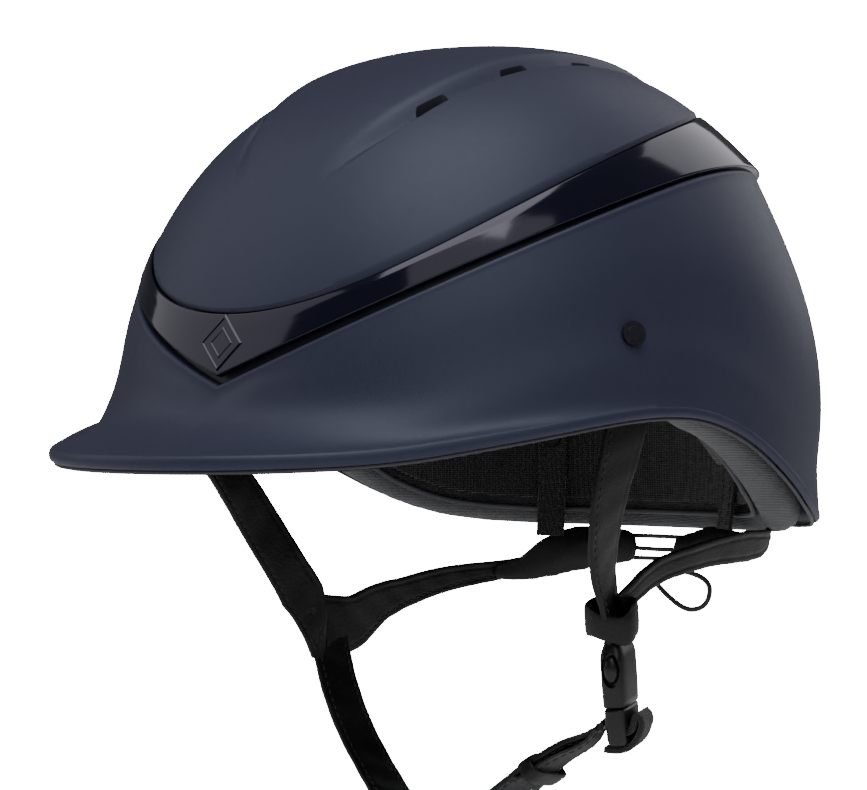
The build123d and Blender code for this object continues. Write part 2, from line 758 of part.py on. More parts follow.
def make_all():
    finish(with_rivet_holes(ring_solid(lower_shell_outline), RIVET_RADIUS + 0.1), "lower_shell")
    finish(make_crown_shell(), "crown_shell")
    finish(ring_solid(band_outline), "trim_band")
    finish(ring_solid(frame_outline), "channel_frame")
    finish(make_badge(), "badge")
    finish(make_liner_lower(), "eps_liner_lower")
    finish(make_liner_crown(), "eps_liner_crown")
    finish(ring_solid(padding_outline, REAR_TURN), "rim_padding")
    finish(bead_solid(piping_line, PIPING_DIAMETER, REAR_TURN[:-1]), "rim_piping")
    finish(bead_solid(binding_line, BINDING_DIAMETER, HALF_TURN[1:-1]), "rim_binding")
    finish(ring_solid(lining_outline, (-6, 0, 16, 29, 42, 56)), "peak_lining")
    finish(ring_solid(headband_outline, (-6, 0, 20, 40, 60, 80, 100, HEADBAND_END)), "headband")
    finish(make_crown_pad(), "crown_pad")
    finish(make_rivets(), "harness_rivets")
    finish(make_washers(), "rivet_washers")
    left_strap = strip_solid(FRONT_LEFT, STRAP_WIDTH, STRAP_THICKNESS)
    finish(with_rivet_holes(left_strap, RIVET_RADIUS + 0.3, [1]), "front_strap_left")
    right_strap = strip_solid(FRONT_RIGHT, STRAP_WIDTH, STRAP_THICKNESS)
    finish(with_rivet_holes(right_strap, RIVET_RADIUS + 0.3, [-1]), "front_strap_right")
    finish(strip_solid(REAR_LEFT, REAR_STRAP_WIDTH, STRAP_THICKNESS), "rear_strap_left")
    finish(strip_solid(REAR_RIGHT, REAR_RIGHT_WIDTHS, STRAP_THICKNESS), "rear_strap_right")
    finish(strip_solid(CHIN, STRAP_WIDTH, STRAP_THICKNESS), "chin_strap")
    finish(make_socket(), "buckle_socket")
    finish(make_tongue(), "buckle_tongue")
    finish(make_prong(-1), "prong_front")
    finish(make_prong(1), "prong_rear")
    finish(strip_solid(JUNCTION, [17, 26, 25, 17], 4.4), "junction_right")
    finish(sleeve_solid(LOOP_TAB, (20, 7.4), (16.6, 4.2)), "loop_tab_left")
    finish(strip_solid(CHIN_LAYER, STRAP_WIDTH - 1, 1.1), "chin_webbing")
    finish(sleeve_solid(KEEPER, (19, 9.6), (16.2, 7.2)), "strap_keeper")
    finish(make_nape_pad(1, LEFT_PAD), "nape_pad_left")
    finish(make_nape_pad(-1, RIGHT_PAD), "nape_pad_right")
    finish(make_hangers(), "nape_hangers")
    finish(make_hanger_screws(), "hanger_screws")
    finish(make_eyelets(), "lace_eyelets")
    finish(make_nape_lace(), "nape_lace")
    finish(make_lace_loop(), "lace_loop")


make_all()
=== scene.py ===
import bpy
import bmesh
import numpy as np
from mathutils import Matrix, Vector
from math import atan2, cos, pi, radians, sin


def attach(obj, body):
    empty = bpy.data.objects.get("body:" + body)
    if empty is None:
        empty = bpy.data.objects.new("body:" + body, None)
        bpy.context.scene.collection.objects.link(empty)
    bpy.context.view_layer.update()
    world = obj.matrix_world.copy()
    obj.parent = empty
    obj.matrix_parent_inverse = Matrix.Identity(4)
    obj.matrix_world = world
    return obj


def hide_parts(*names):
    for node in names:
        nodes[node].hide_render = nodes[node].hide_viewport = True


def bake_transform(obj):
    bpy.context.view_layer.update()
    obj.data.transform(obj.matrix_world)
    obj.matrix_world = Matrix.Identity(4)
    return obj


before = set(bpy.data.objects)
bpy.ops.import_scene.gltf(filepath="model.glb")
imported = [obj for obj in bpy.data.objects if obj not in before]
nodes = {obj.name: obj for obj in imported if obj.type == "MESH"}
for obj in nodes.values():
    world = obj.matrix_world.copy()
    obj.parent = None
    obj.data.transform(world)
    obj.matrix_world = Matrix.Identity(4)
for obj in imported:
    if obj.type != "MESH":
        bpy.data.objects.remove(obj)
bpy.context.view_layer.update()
MM = 0.001

# ---------------------------------------------------------------- dimensions, mm
HALF_WIDTH, FRONT_LENGTH, REAR_LENGTH, AXIS_Y, SHELL_HEIGHT = 106.0, 131.0, 117.0, 9.0, 131.7
PLAN_FRONT, PLAN_REAR, WALL_POWER, WALL_DROP = 2.28, 2.05, 2.40, 0.26
SHELL_T, BAND_T, CROWN_T = 3.2, 2.4, 3.0
PEAK_REACH, PEAK_POWER, PEAK_FLARE, LIP_T = 35.0, 7, 6.0, 4.6
RIM = [(0, -3.4), (16, -2.8), (29, -0.8), (42, 4.0), (56, 9.0), (65, 11.4), (72, 12.0), (80, 11.0),
       (89, 7.0), (96, 1.8), (103, -4.6), (111, -11.8), (119, -18.4), (131, -24.4), (146, -27.0),
       (163, -27.6), (180, -27.8)]


def plan_radius(angle, d=0.0):
    """Radius of the dome's plan, angle degrees from the front, d outside it."""
    s, c = np.abs(np.sin(np.radians(angle))), np.cos(np.radians(angle))
    power = np.where(c > 0, PLAN_FRONT, PLAN_REAR)
    length = np.where(c > 0, FRONT_LENGTH, REAR_LENGTH) + d
    return ((s / (HALF_WIDTH + d)) ** power + (np.abs(c) / length) ** power) ** (-1 / power)


def wall_radius(angle, z, d=0.0):
    """Radius of the dome at a height, d outside its face."""
    c = np.maximum(np.cos(np.radians(angle)), 0.0)
    n = WALL_POWER - WALL_DROP * c * c
    up = np.minimum(np.abs(z) / (SHELL_HEIGHT + d), 1.0)
    return plan_radius(angle, d) * (1 - up**n) ** (1 / n)


def peak(angle):
    """How far the lip stands out from the dome."""
    c = np.maximum(np.cos(np.radians(angle)), 0.0)
    return PEAK_REACH * c**PEAK_POWER + PEAK_FLARE * c + 1.0


def rim(angle):
    """Height of the lip: a smooth curve through the points of RIM."""
    angle = abs(float(angle))
    angle = 360 - angle if angle > 180 else angle
    rows = [(-RIM[1][0], RIM[1][1])] + RIM + [(360 - RIM[-2][0], RIM[-2][1])]
    i = 1
    while angle > rows[i + 1][0] and i < len(rows) - 3:
        i += 1
    (x0, y0), (x1, y1), (x2, y2), (x3, y3) = rows[i - 1:i + 3]
    t = (angle - x1) / (x2 - x1)
    m1, m2 = (y2 - y0) / (x2 - x0) * (x2 - x1), (y3 - y1) / (x3 - x1) * (x2 - x1)
    a = 2 * t**3 - 3 * t**2 + 1
    return a * y1 + (t**3 - 2 * t**2 + t) * m1 + (1 - a) * y2 + (t**3 - t**2) * m2


def band_low(x, y):
    soft = 40.0 * np.clip(y / 110, 0, 1) ** 2
    x = np.abs(x)
    return 25.0 + 0.36 * (np.sqrt(x * x + soft * soft) - soft) + 0.26 * (y + 120)


def band_top(x, y):
    return 45.0 + 0.0029 * x * x + 0.338 * (y + 116)


def shell_top(x, y):
    share = np.clip((y + 120) / 230, 0, 1)
    return band_low(x, y) - 2.8 * (1 - share) - 1.4 * share


def solve_height(angle, d, rule):
    """Height at which the dome meets a line that is given by its height over x and y."""
    z = 60.0 + 0 * np.asarray(angle, float)
    for _ in range(60):
        r = wall_radius(angle, z, d)
        z = 0.6 * z + 0.4 * rule(r * np.sin(np.radians(angle)), AXIS_Y - r * np.cos(np.radians(angle)))
    return z


def polar(angle, r, z, side=1):
    a = np.radians(angle)
    return np.stack(np.broadcast_arrays(side * r * np.sin(a), AXIS_Y - r * np.cos(a), z), -1)


def smoothstep(a, b, x):
    t = np.clip((x - a) / (b - a), 0, 1)
    return t * t * (3 - 2 * t)


def circle(n):
    return np.linspace(0, 2 * pi, n, endpoint=False)


def signed_power(value, power):
    """Power that keeps the sign: below 1 it turns a circle's sine and cosine into a rounded square's."""
    return np.sign(value) * abs(value) ** power


def spline(points, n):
    """Natural cubic spline through points, n samples evenly spaced."""
    p = np.asarray(points, float)
    t = np.r_[0, np.cumsum(np.linalg.norm(np.diff(p, axis=0), axis=1))]
    m = len(t)
    a, r = np.eye(m), np.zeros_like(p)
    for i in range(1, m - 1):
        h0, h1 = t[i] - t[i - 1], t[i + 1] - t[i]
        a[i, i - 1], a[i, i], a[i, i + 1] = h0, 2 * (h0 + h1), h1
        r[i] = 6 * ((p[i + 1] - p[i]) / h1 - (p[i] - p[i - 1]) / h0)
    q = np.linalg.solve(a, r)
    s = np.linspace(0, t[-1], n)
    k = np.clip(np.searchsorted(t, s) - 1, 0, m - 2)
    h, u, v = (t[k + 1] - t[k])[:, None], (t[k + 1] - s)[:, None], (s - t[k])[:, None]
    bend = (q[k] * u**3 + q[k + 1] * v**3) / (6 * h)
    return bend + (p[k] / h - q[k] * h / 6) * u + (p[k + 1] / h - q[k + 1] * h / 6) * v


# ---------------------------------------------------------------- camera
AZ, EL, DIST = radians(41.0), radians(1.58), 1.5
AIM_RIGHT, AIM_UP = -0.01203, 0.0176
SENSOR, FOCAL_WIDTHS = 36, 4500 / 867
back = Vector((sin(AZ) * cos(EL), -cos(AZ) * cos(EL), sin(EL)))
right = Vector((cos(AZ), sin(AZ), 0))
up = back.cross(right)
cam = bpy.data.objects.new("camera", bpy.data.cameras.new("camera"))
bpy.context.scene.collection.objects.link(cam)
cam.location = back * DIST
aim = right * AIM_RIGHT + up * AIM_UP - cam.location
cam.rotation_euler = aim.to_track_quat("-Z", "Y").to_euler()
cam.data.sensor_width = SENSOR
cam.data.lens = SENSOR * FOCAL_WIDTHS
cam.data.clip_start = 0.05
bpy.context.scene.camera = cam


# ---------------------------------------------------------------- node helpers
class Mat:
    """A material and short ways to add nodes to it."""

    def __init__(self, name):
        self.m = bpy.data.materials.new(name)
        self.m.use_nodes = True
        self.t = self.m.node_tree
        self.b = self.t.nodes["Principled BSDF"]

    def node(self, kind, ins=None, **props):
        n = self.t.nodes.new("ShaderNode" + kind)
        for k, v in props.items():
            setattr(n, k, v)
        for k, v in (ins or {}).items():
            self.put(n.inputs[k], v)
        return n

    def put(self, socket, v):
        if isinstance(v, bpy.types.NodeSocket):
            self.t.links.new(v, socket)
        else:
            socket.default_value = v

    def set(self, **ins):
        for k, v in ins.items():
            self.put(self.b.inputs[k.replace("_", " ")], v)
        return self

    def coords(self):
        return self.node("TexCoord").outputs["Object"]

    def noise(self, vec, scale, detail=4.0, rough=0.55):
        ins = {"Vector": vec, "Scale": scale, "Detail": detail, "Roughness": rough}
        return self.node("TexNoise", ins).outputs[0]

    def ramp(self, fac, stops):
        r = self.node("ValToRGB", {"Fac": fac})
        e = r.color_ramp.elements
        while len(e) < len(stops):
            e.new(0.5)
        for i, (pos, col) in enumerate(stops):
            e[i].position = pos
            e[i].color = (*col, 1)
        return r.outputs[0]

    def math(self, op, a, b=0.0):
        n = self.node("Math", operation=op)
        self.put(n.inputs[0], a)
        self.put(n.inputs[1], b)
        return n.outputs[0]

    def range(self, v, lo, hi):
        return self.node("MapRange", {"Value": v, "To Min": lo, "To Max": hi}).outputs[0]

    def bump(self, height, strength, distance):
        return self.node("Bump", {"Height": height, "Strength": strength, "Distance": distance}).outputs[0]


def linear(v):
    return v / 255 / 12.92 if v <= 10 else ((v / 255 + 0.055) / 1.055) ** 2.4


def srgb(r, g, b):
    return (linear(r), linear(g), linear(b))


def shade(c, k):
    return tuple(min(1.0, x * k) for x in c)


# ---------------------------------------------------------------- materials
def make_matt_shell():
    m = Mat("shell_matt")
    co = m.coords()
    big = m.noise(co, 9.0, 3.0)
    fine = m.noise(co, 2600.0, 2.0, 0.6)
    mid = m.noise(co, 420.0, 3.0, 0.6)
    navy = srgb(44, 45, 67)
    col = m.ramp(big, [(0.25, shade(navy, 0.94)), (0.75, shade(navy, 1.06))])
    m.set(Base_Color=col, Roughness=m.range(mid, 0.46, 0.54), Normal=m.bump(fine, 0.18, 0.0002))
    m.set(Specular_IOR_Level=0.5, Specular_Tint=(0.78, 0.88, 1, 1))
    return m.m


def make_gloss_band():
    m = Mat("band_gloss")
    co = m.coords()
    wave = m.noise(co, 26.0, 2.0)
    dust = m.noise(co, 900.0, 3.0, 0.7)
    ink = srgb(12, 13, 30)
    m.set(Base_Color=m.ramp(wave, [(0.2, shade(ink, 0.85)), (0.8, shade(ink, 1.2))]),
          Roughness=m.range(dust, 0.07, 0.12), Normal=m.bump(wave, 0.05, 0.0004))
    m.set(Specular_IOR_Level=0.5, Specular_Tint=(0.86, 0.84, 1, 1))
    m.set(Coat_Weight=0.25, Coat_Tint=(0.9, 0.88, 1, 1), Coat_Roughness=0.12)
    return m.m


def make_plastic(name, rgb, rough, bump=0.12, scale=1500.0):
    m = Mat(name)
    co = m.coords()
    n = m.noise(co, scale, 3.0, 0.6)
    w = m.noise(co, 120.0, 3.0)
    m.set(Base_Color=m.ramp(w, [(0.2, shade(rgb, 0.8)), (0.8, shade(rgb, 1.25))]),
          Roughness=m.range(w, rough - 0.05, rough + 0.07), Normal=m.bump(n, bump, 0.0003))
    return m.m


def make_leather(name, rgb, rough, grain=900.0):
    m = Mat(name)
    co = m.coords()
    cells = m.node("TexVoronoi", {"Vector": co, "Scale": grain}, feature="DISTANCE_TO_EDGE")
    n1 = m.noise(co, grain * 0.5, 5.0, 0.65)
    n2 = m.noise(co, 60.0, 4.0, 0.6)
    h = m.math("ADD", m.math("MULTIPLY", cells.outputs["Distance"], 0.8), n1)
    m.set(Base_Color=m.ramp(n2, [(0.3, shade(rgb, 0.75)), (0.7, shade(rgb, 1.35))]),
          Roughness=m.range(n2, rough - 0.08, rough + 0.1), Normal=m.bump(h, 0.35, 0.0004),
          Specular_IOR_Level=0.4)
    return m.m


def make_weave(name, rgb, scale, rough, strength):
    m = Mat(name)
    co = m.coords()
    ins = {"Vector": co, "Scale": scale, "Distortion": 0.3}
    wx, wy, wz = (m.node("TexWave", ins, bands_direction=d, wave_type="BANDS").outputs["Fac"] for d in "XYZ")
    mix = m.math("MULTIPLY", m.math("ADD", wx, wy), wz)
    n = m.noise(co, 45.0, 5.0, 0.6)
    fac = m.math("ADD", m.math("MULTIPLY", mix, 0.45), m.math("MULTIPLY", n, 0.5))
    m.set(Base_Color=m.ramp(fac, [(0.15, shade(rgb, 0.55)), (0.85, shade(rgb, 1.5))]), Roughness=rough,
          Normal=m.bump(mix, strength, 0.0006), Sheen_Weight=0.3)
    return m.m


def make_metal(name, rgb, rough, metallic):
    m = Mat(name)
    co = m.coords()
    n = m.noise(co, 700.0, 4.0)
    m.set(Base_Color=m.ramp(n, [(0.2, shade(rgb, 0.8)), (0.8, shade(rgb, 1.2))]),
          Roughness=m.range(n, rough - 0.05, rough + 0.1), Metallic=metallic)
    return m.m


MATT = make_matt_shell()
GLOSS = make_gloss_band()
FRAME_MAT = make_plastic("frame_black", srgb(36, 37, 48), 0.45)
EPS = make_plastic("eps_foam", srgb(24, 24, 25), 0.8, 0.5, 500.0)
PAD = make_weave("padding_fabric", srgb(86, 87, 89), 560.0, 0.95, 0.7)
MESH_CLOTH = make_weave("lining_fabric", srgb(22, 22, 22), 420.0, 0.95, 0.8)
BAND_CLOTH = make_weave("headband_fabric", srgb(56, 56, 54), 520.0, 0.95, 0.7)
EDGING = make_plastic("edging", srgb(60, 60, 66), 0.5)
LEATHER = make_leather("strap_leather", srgb(14, 14, 14), 0.42)
WEBBING = make_weave("strap_webbing", srgb(26, 26, 26), 800.0, 0.9, 0.7)
THREAD = make_plastic("thread", srgb(40, 40, 40), 0.5, 0.3, 3000.0)
BUCKLE = make_plastic("buckle_plastic", srgb(20, 20, 20), 0.32, 0.1, 1800.0)
RIVET = make_metal("rivet_metal", srgb(34, 35, 46), 0.32, 0.35)
STEEL = make_metal("washer_steel", srgb(60, 60, 62), 0.4, 0.9)
EYELET = make_metal("eyelet_metal", srgb(40, 40, 42), 0.3, 0.7)
LACE = make_weave("lace_cord", srgb(22, 22, 23), 1500.0, 0.85, 0.8)


# ---------------------------------------------------------------- mesh helpers
def new_object(name, verts, faces, mats, face_mats=None, angle=40):
    me = bpy.data.meshes.new(name)
    me.from_pydata([tuple(v) for v in np.asarray(verts) * MM], [], [tuple(int(i) for i in f) for f in faces])
    for m in mats:
        me.materials.append(m)
    if face_mats is not None:
        me.polygons.foreach_set("material_index", np.asarray(face_mats, np.int32))
    bm = bmesh.new()
    bm.from_mesh(me)
    bmesh.ops.recalc_face_normals(bm, faces=bm.faces)
    bm.to_mesh(me)
    bm.free()
    me.polygons.foreach_set("use_smooth", [True] * len(me.polygons))
    if angle:
        me.set_sharp_from_angle(angle=radians(angle))
    ob = bpy.data.objects.new(name, me)
    bpy.context.scene.collection.objects.link(ob)
    return ob


def grid_faces(rows, cols, wrap_r=False, wrap_c=False, base=0):
    out = []
    for i in range(rows if wrap_r else rows - 1):
        for j in range(cols if wrap_c else cols - 1):
            a, b = i * cols + j, i * cols + (j + 1) % cols
            c, d = ((i + 1) % rows) * cols + (j + 1) % cols, ((i + 1) % rows) * cols + j
            out.append((base + a, base + b, base + c, base + d))
    return out


def tube_faces(rings, sides):
    """Faces of a tube of rings, capped at both ends."""
    caps = [tuple(range(sides)), tuple(reversed(range((rings - 1) * sides, rings * sides)))]
    return grid_faces(rings, sides, False, True) + caps


def ring_object(name, section, turn, mats, angle, closed=False):
    """Sweeps a section (r, z) round the crown axis, from the left of the front (+) to its right (-)."""
    sections = {a: np.asarray(section(a)) for a in set(np.abs(turn))}
    loops = [polar(abs(a), *sections[abs(a)].T, 1 if a >= 0 else -1) for a in turn]
    rings, sides = len(loops), len(loops[0])
    faces = grid_faces(rings, sides, True, True) if closed else tube_faces(rings, sides)
    return new_object(name, np.concatenate(loops), faces, mats, angle=angle)


def behind(angles):
    """Angles of one side, then those of the other side back again, round the back of the head."""
    return np.r_[angles, -angles[-2::-1]]


def in_front(angles):
    """Angles from 0 up, with those of the other side before them, round the front of the head."""
    return np.r_[-angles[:0:-1], angles]


def carve(ob, cutter, angle):
    """Cuts one object out of another, then drops the cutter."""
    mod = ob.modifiers.new("carve", "BOOLEAN")
    mod.operation, mod.object, mod.solver = "DIFFERENCE", cutter, "EXACT"
    mesh = bpy.data.meshes.new_from_object(ob.evaluated_get(bpy.context.evaluated_depsgraph_get()))
    ob.modifiers.clear()
    ob.data = mesh
    bpy.data.objects.remove(cutter)
    mesh.polygons.foreach_set("use_smooth", [True] * len(mesh.polygons))
    mesh.set_sharp_from_angle(angle=radians(angle))


def arc(x, y, rx, ry, a0, a1, n):
    """Points of an ellipse round (x, y) from angle a0 to a1, degrees."""
    return [(x + rx * cos(q), y + ry * sin(q)) for q in np.radians(np.linspace(a0, a1, n))]


def put(ob, body, node):
    """Gives a piece its body and hides the CAD node that it replaces, if any."""
    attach(ob, body)
    if node:
        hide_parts(node)
    return ob


HALF = np.r_[np.linspace(0, 6, 7), np.linspace(7, 180, 150)]
WHOLE = behind(HALF)[:-1]


# ---------------------------------------------------------------- lace loop
LOOP_Y = 103.0
LOOP = [(-8.2, LOOP_Y, -44.6), (4.6, LOOP_Y + 2, -59.0), (18.0, LOOP_Y + 3, -58.0), (19.4, LOOP_Y + 3, -46.0),
        (4.0, LOOP_Y + 2.4, -45.0)]


def nurbs(name, points, diameter, mat):
    cu = bpy.data.curves.new(name, "CURVE")
    cu.dimensions = "3D"
    cu.bevel_depth = diameter / 2 * MM
    cu.bevel_resolution = 6
    cu.resolution_u = 24
    cu.use_fill_caps = True
    sp = cu.splines.new("NURBS")
    sp.points.add(len(points) - 1)
    for p, q in zip(sp.points, points):
        p.co = (q[0] * MM, q[1] * MM, q[2] * MM, 1)
    sp.order_u = 3
    sp.use_endpoint_u = True
    cu.materials.append(mat)
    ob = bpy.data.objects.new(name, cu)
    bpy.context.scene.collection.objects.link(ob)
    return ob


loop = nurbs("lace_bow", LOOP, 1.9, LACE)
put(loop, "helmet", "lace_loop")


def curve_length(points):
    """Length of the smooth curve in metres, measured along its segments."""
    cu = nurbs("measure", points, 0.0, LACE)
    me = bpy.data.meshes.new_from_object(cu.evaluated_get(bpy.context.evaluated_depsgraph_get()))
    v = [x.co for x in me.vertices]
    n = sum((v[i + 1] - v[i]).length for i in range(len(v) - 1))
    bpy.data.objects.remove(cu)
    return n


curve_length(LOOP)


# ---------------------------------------------------------------- shells
def shell_section(a):
    """Outer face from the top edge down to the lip, the round lip, and the inner face back up."""
    low, top = rim(a), float(solve_height(a, 0, shell_top))
    p, t = float(peak(a)), SHELL_T
    base = float(wall_radius(a, low))
    lip = base + p
    room = min(1.0, (top - low - 8) / 20)
    blend = min(low + 8 + 19 * room, top - 5)
    mid = (blend + top - 1.6) / 2
    ledge = min(1.0, (p - 1) / 14) ** 0.7
    lip_top = LIP_T * ledge + 2.9 * (1 - ledge)

    def w(z, d=0.0):
        return float(wall_radius(a, z, d))

    outer = [(w(top - 1.6), top - 1.6), (w(mid), mid), (w(blend) + 0.01 * p, blend),
             (base + 0.06 * p, low + 6.5 + 11 * room), (base + 0.22 * p, low + 5.5 + 6.5 * room),
             (base + 0.52 * p, low + LIP_T + 2.6 * room * p / 42 + 1.6 * (1 - ledge)),
             (lip - 0.25 - 1.35 * ledge, low + lip_top)]
    inner = [(lip - 1.6, low), (lip - 3.2, low + 0.1), (base + 0.5 * p - t, low + 3.4),
             (w(low + 9.5) + 0.12 * p - t, low + 9.5), (w(blend, -t), blend), (w(mid, -t), mid),
             (w(top, -t), top)]
    o = spline(outer, 44)
    rise, deep = lip_top / 2, 0.25 + 1.35 * ledge
    lip_arc = arc(lip - deep, low + rise, deep, rise, 90, 0, 7)[1:]
    lip_arc += arc(lip - 1.6, low + rise, 1.6, rise, 0, -90, 8)[1:-1]
    i = spline(inner, 26)
    corner = arc(w(top - 1.6) - 1.6, top - 1.6, 1.6, 1.6, 90, 8, 6)
    return np.concatenate([o, lip_arc, i, corner])


lower_shell = ring_object("lower_shell_skin", shell_section, WHOLE, [MATT], 50, closed=True)
put(lower_shell, "helmet", "lower_shell")


def band_section(a):
    """Glossy band, flared at the lower front, with rounded top and bottom edges."""
    high, low = float(solve_height(a, 0, band_top)) - 0.5, float(solve_height(a, 0, band_low))
    c = -cos(radians(a))
    flare = 3.5 * max(c + 0.35, 0.0) ** 1.5 / 1.57
    outer = []
    for s in np.linspace(0, 1, 9):
        z = high + (low - high) * s
        d = 0.5 * min(1.0, 4 * s + 0.2) + flare * s**2
        outer.append((float(wall_radius(a, z)) + d, z))
    o = spline(outer, 22)
    tan0, tan1 = o[1] - o[0], o[-1] - o[-2]
    e0, e1 = tan0 / np.linalg.norm(tan0), tan1 / np.linalg.norm(tan1)
    n0, n1 = np.array([-e0[1], e0[0]]), np.array([-e1[1], e1[0]])
    n0, n1 = (n0 if n0[0] > 0 else -n0), (n1 if n1[0] > 0 else -n1)
    r = 0.55
    top = [o[0] - n0 * r + n0 * r * cos(q) - e0 * r * sin(q) + e0 * r for q in np.linspace(pi / 2, 0, 5)]
    bot = [o[-1] - n1 * r + n1 * r * cos(q) + e1 * r * sin(q) - e1 * r for q in np.linspace(0, pi / 2, 5)]
    body = o[(np.linalg.norm(o - o[0], axis=1) > r) & (np.linalg.norm(o - o[-1], axis=1) > r)]
    idx = np.linspace(0, len(body) - 1, 16)
    body = np.stack([np.interp(idx, range(len(body)), body[:, k]) for k in (0, 1)], 1)
    inner = [o[-1] - n1 * BAND_T, o[len(o) // 2] - n1 * BAND_T, o[0] - n0 * BAND_T * 0.8]
    return np.concatenate([top, body, bot, inner])


trim_band = ring_object("trim_band_skin", band_section, WHOLE, [GLOSS], 35, closed=True)
put(trim_band, "helmet", "trim_band")

PLATEAU = [(-112, 5), (-101, 11), (-92, 20), (-84, 25.6), (-74, 31.2), (-63, 34.8), (-52, 37.2), (-38, 39),
           (-16, 40.3), (0, 40.2), (17, 38.9), (40, 36), (60, 33), (90, 28), (125, 22)]


def plateau_half(y):
    """Half the width of the raised middle of the crown at y."""
    return np.interp(y, *np.transpose(PLATEAU))


def crown_lift(x, y):
    """Raised middle of the crown: soft upper edge, then a groove with a sharp lower edge."""
    s = np.abs(x) - plateau_half(y)
    fade = smoothstep(-98, -66, y)
    slope = 2.2 - 4.4 * smoothstep(-7.5, 1.2, s)
    ledge = np.where(s < -0.5, slope, -1.5 * (1 - smoothstep(-0.5, 0.9, s)))
    return fade * ledge + (1 - fade) * 1.8 * (1 - smoothstep(-26, 6, s)) * smoothstep(-112, -80, y)


def groove_radius(angle, limit):
    """Distance of the groove beside the raised middle from the crown axis."""
    s, c = sin(radians(angle)), cos(radians(angle))
    r = 60.0
    for _ in range(40):
        r = 0.5 * r + 0.5 * min(plateau_half(AXIS_Y - r * c) / max(s, 0.02), 0.84 * limit)
    return min(r, 0.9 * limit)


def crown_profile(angle, edge_z):
    """Outer and inner (r, z) of the crown from top to edge, with closer rows along the groove."""
    big = float(plan_radius(angle))
    q_edge = float(wall_radius(angle, edge_z) / plan_radius(angle))
    n = WALL_POWER - WALL_DROP * max(cos(radians(angle)), 0.0) ** 2
    groove = groove_radius(angle, q_edge * big)
    start, stop = groove - 8, groove + 2.5
    r = np.r_[np.linspace(0.5, start, 34, endpoint=False), np.linspace(start, stop, 18, endpoint=False)]
    psi0 = np.arctan2((1 - (stop / big) ** n) ** (1 / n), stop / big)
    psi = np.linspace(psi0, np.arctan2(edge_z / SHELL_HEIGHT, q_edge), 34)
    rho = (np.cos(psi) ** n + np.sin(psi) ** n) ** (-1 / n)
    r = np.r_[r, rho * np.cos(psi) * big]
    z = SHELL_HEIGHT * (1 - (r / big) ** n) ** (1 / n)
    grad = np.gradient(z, r)
    nr, nz = -grad / np.hypot(grad, 1), 1 / np.hypot(grad, 1)
    lift = crown_lift(sin(radians(angle)) * r, AXIS_Y - cos(radians(angle)) * r)
    tuck = 0.9 * np.clip(1 - np.hypot(r - r[-1], z - z[-1]) / 1.6, 0, 1) ** 2
    return (r + nr * lift - nr * tuck, z + nz * lift - nz * tuck), (r - nr * CROWN_T, z - nz * CROWN_T)


def crown_object():
    loops_out, loops_in = [], []
    edges = solve_height(np.abs(WHOLE), 0, band_top)
    for a, edge_z in zip(WHOLE, edges):
        outer, inner = crown_profile(abs(a), edge_z)
        side = 1 if a >= 0 else -1
        loops_out.append(polar(abs(a), *outer, side))
        loops_in.append(polar(abs(a), *inner, side))
    cols, rows = len(WHOLE), len(loops_out[0])
    out, inn = np.concatenate(loops_out), np.concatenate(loops_in)
    tops = [[0, AXIS_Y, SHELL_HEIGHT + 1.5], [0, AXIS_Y, SHELL_HEIGHT - CROWN_T]]
    total = len(out)
    faces = grid_faces(cols, rows, True, False) + grid_faces(cols, rows, True, False, total)
    for j in range(cols):
        k = (j + 1) % cols
        faces.append((2 * total, j * rows, k * rows))
        faces.append((2 * total + 1, total + k * rows, total + j * rows))
        e0, e1 = j * rows + rows - 1, k * rows + rows - 1
        faces.append((e0, e1, total + e1, total + e0))
    return new_object("crown_skin", np.concatenate([out, inn, tops]), faces, [MATT, FRAME_MAT], angle=32)


SLOT_LENGTH, SLOT_WIDTH, SLOT_FOOT, SLOT_TOP = 12.5, 3.8, 95.0, 150.0
SLOTS = [(34.6, -57.5, 14.0), (38.6, -22.0, 3.0), (38.0, 14.0, -4.0)]


def slot_cutter():
    """Blocks with round ends for the six vents of the crown."""
    verts, faces = [], []
    for x, y, turn in SLOTS:
        for side in (-1, 1):
            ring = []
            t = radians(turn)
            for q in circle(28):
                px = SLOT_WIDTH / 2 * cos(q)
                py = SLOT_WIDTH / 2 * sin(q) + (SLOT_LENGTH - SLOT_WIDTH) / 2 * (1 if sin(q) > 0 else -1)
                ring.append((side * (x + px * cos(t) + py * sin(t)), y - px * sin(t) + py * cos(t)))
            b = len(verts)
            verts += [(u, v, z) for z in (SLOT_FOOT, SLOT_TOP) for u, v in ring]
            k = len(ring)
            faces += [tuple(range(b, b + k)), tuple(range(b + k, b + 2 * k))]
            faces += [(b + i, b + (i + 1) % k, b + k + (i + 1) % k, b + k + i) for i in range(k)]
    return new_object("slot_cutter", verts, faces, [FRAME_MAT])


crown = crown_object()
carve(crown, slot_cutter(), 32)
put(crown, "helmet", "crown_shell")


# ---------------------------------------------------------------- soft goods helpers
SOFT_FRAMES, SOFT_PRESSURE = 20, 4.0


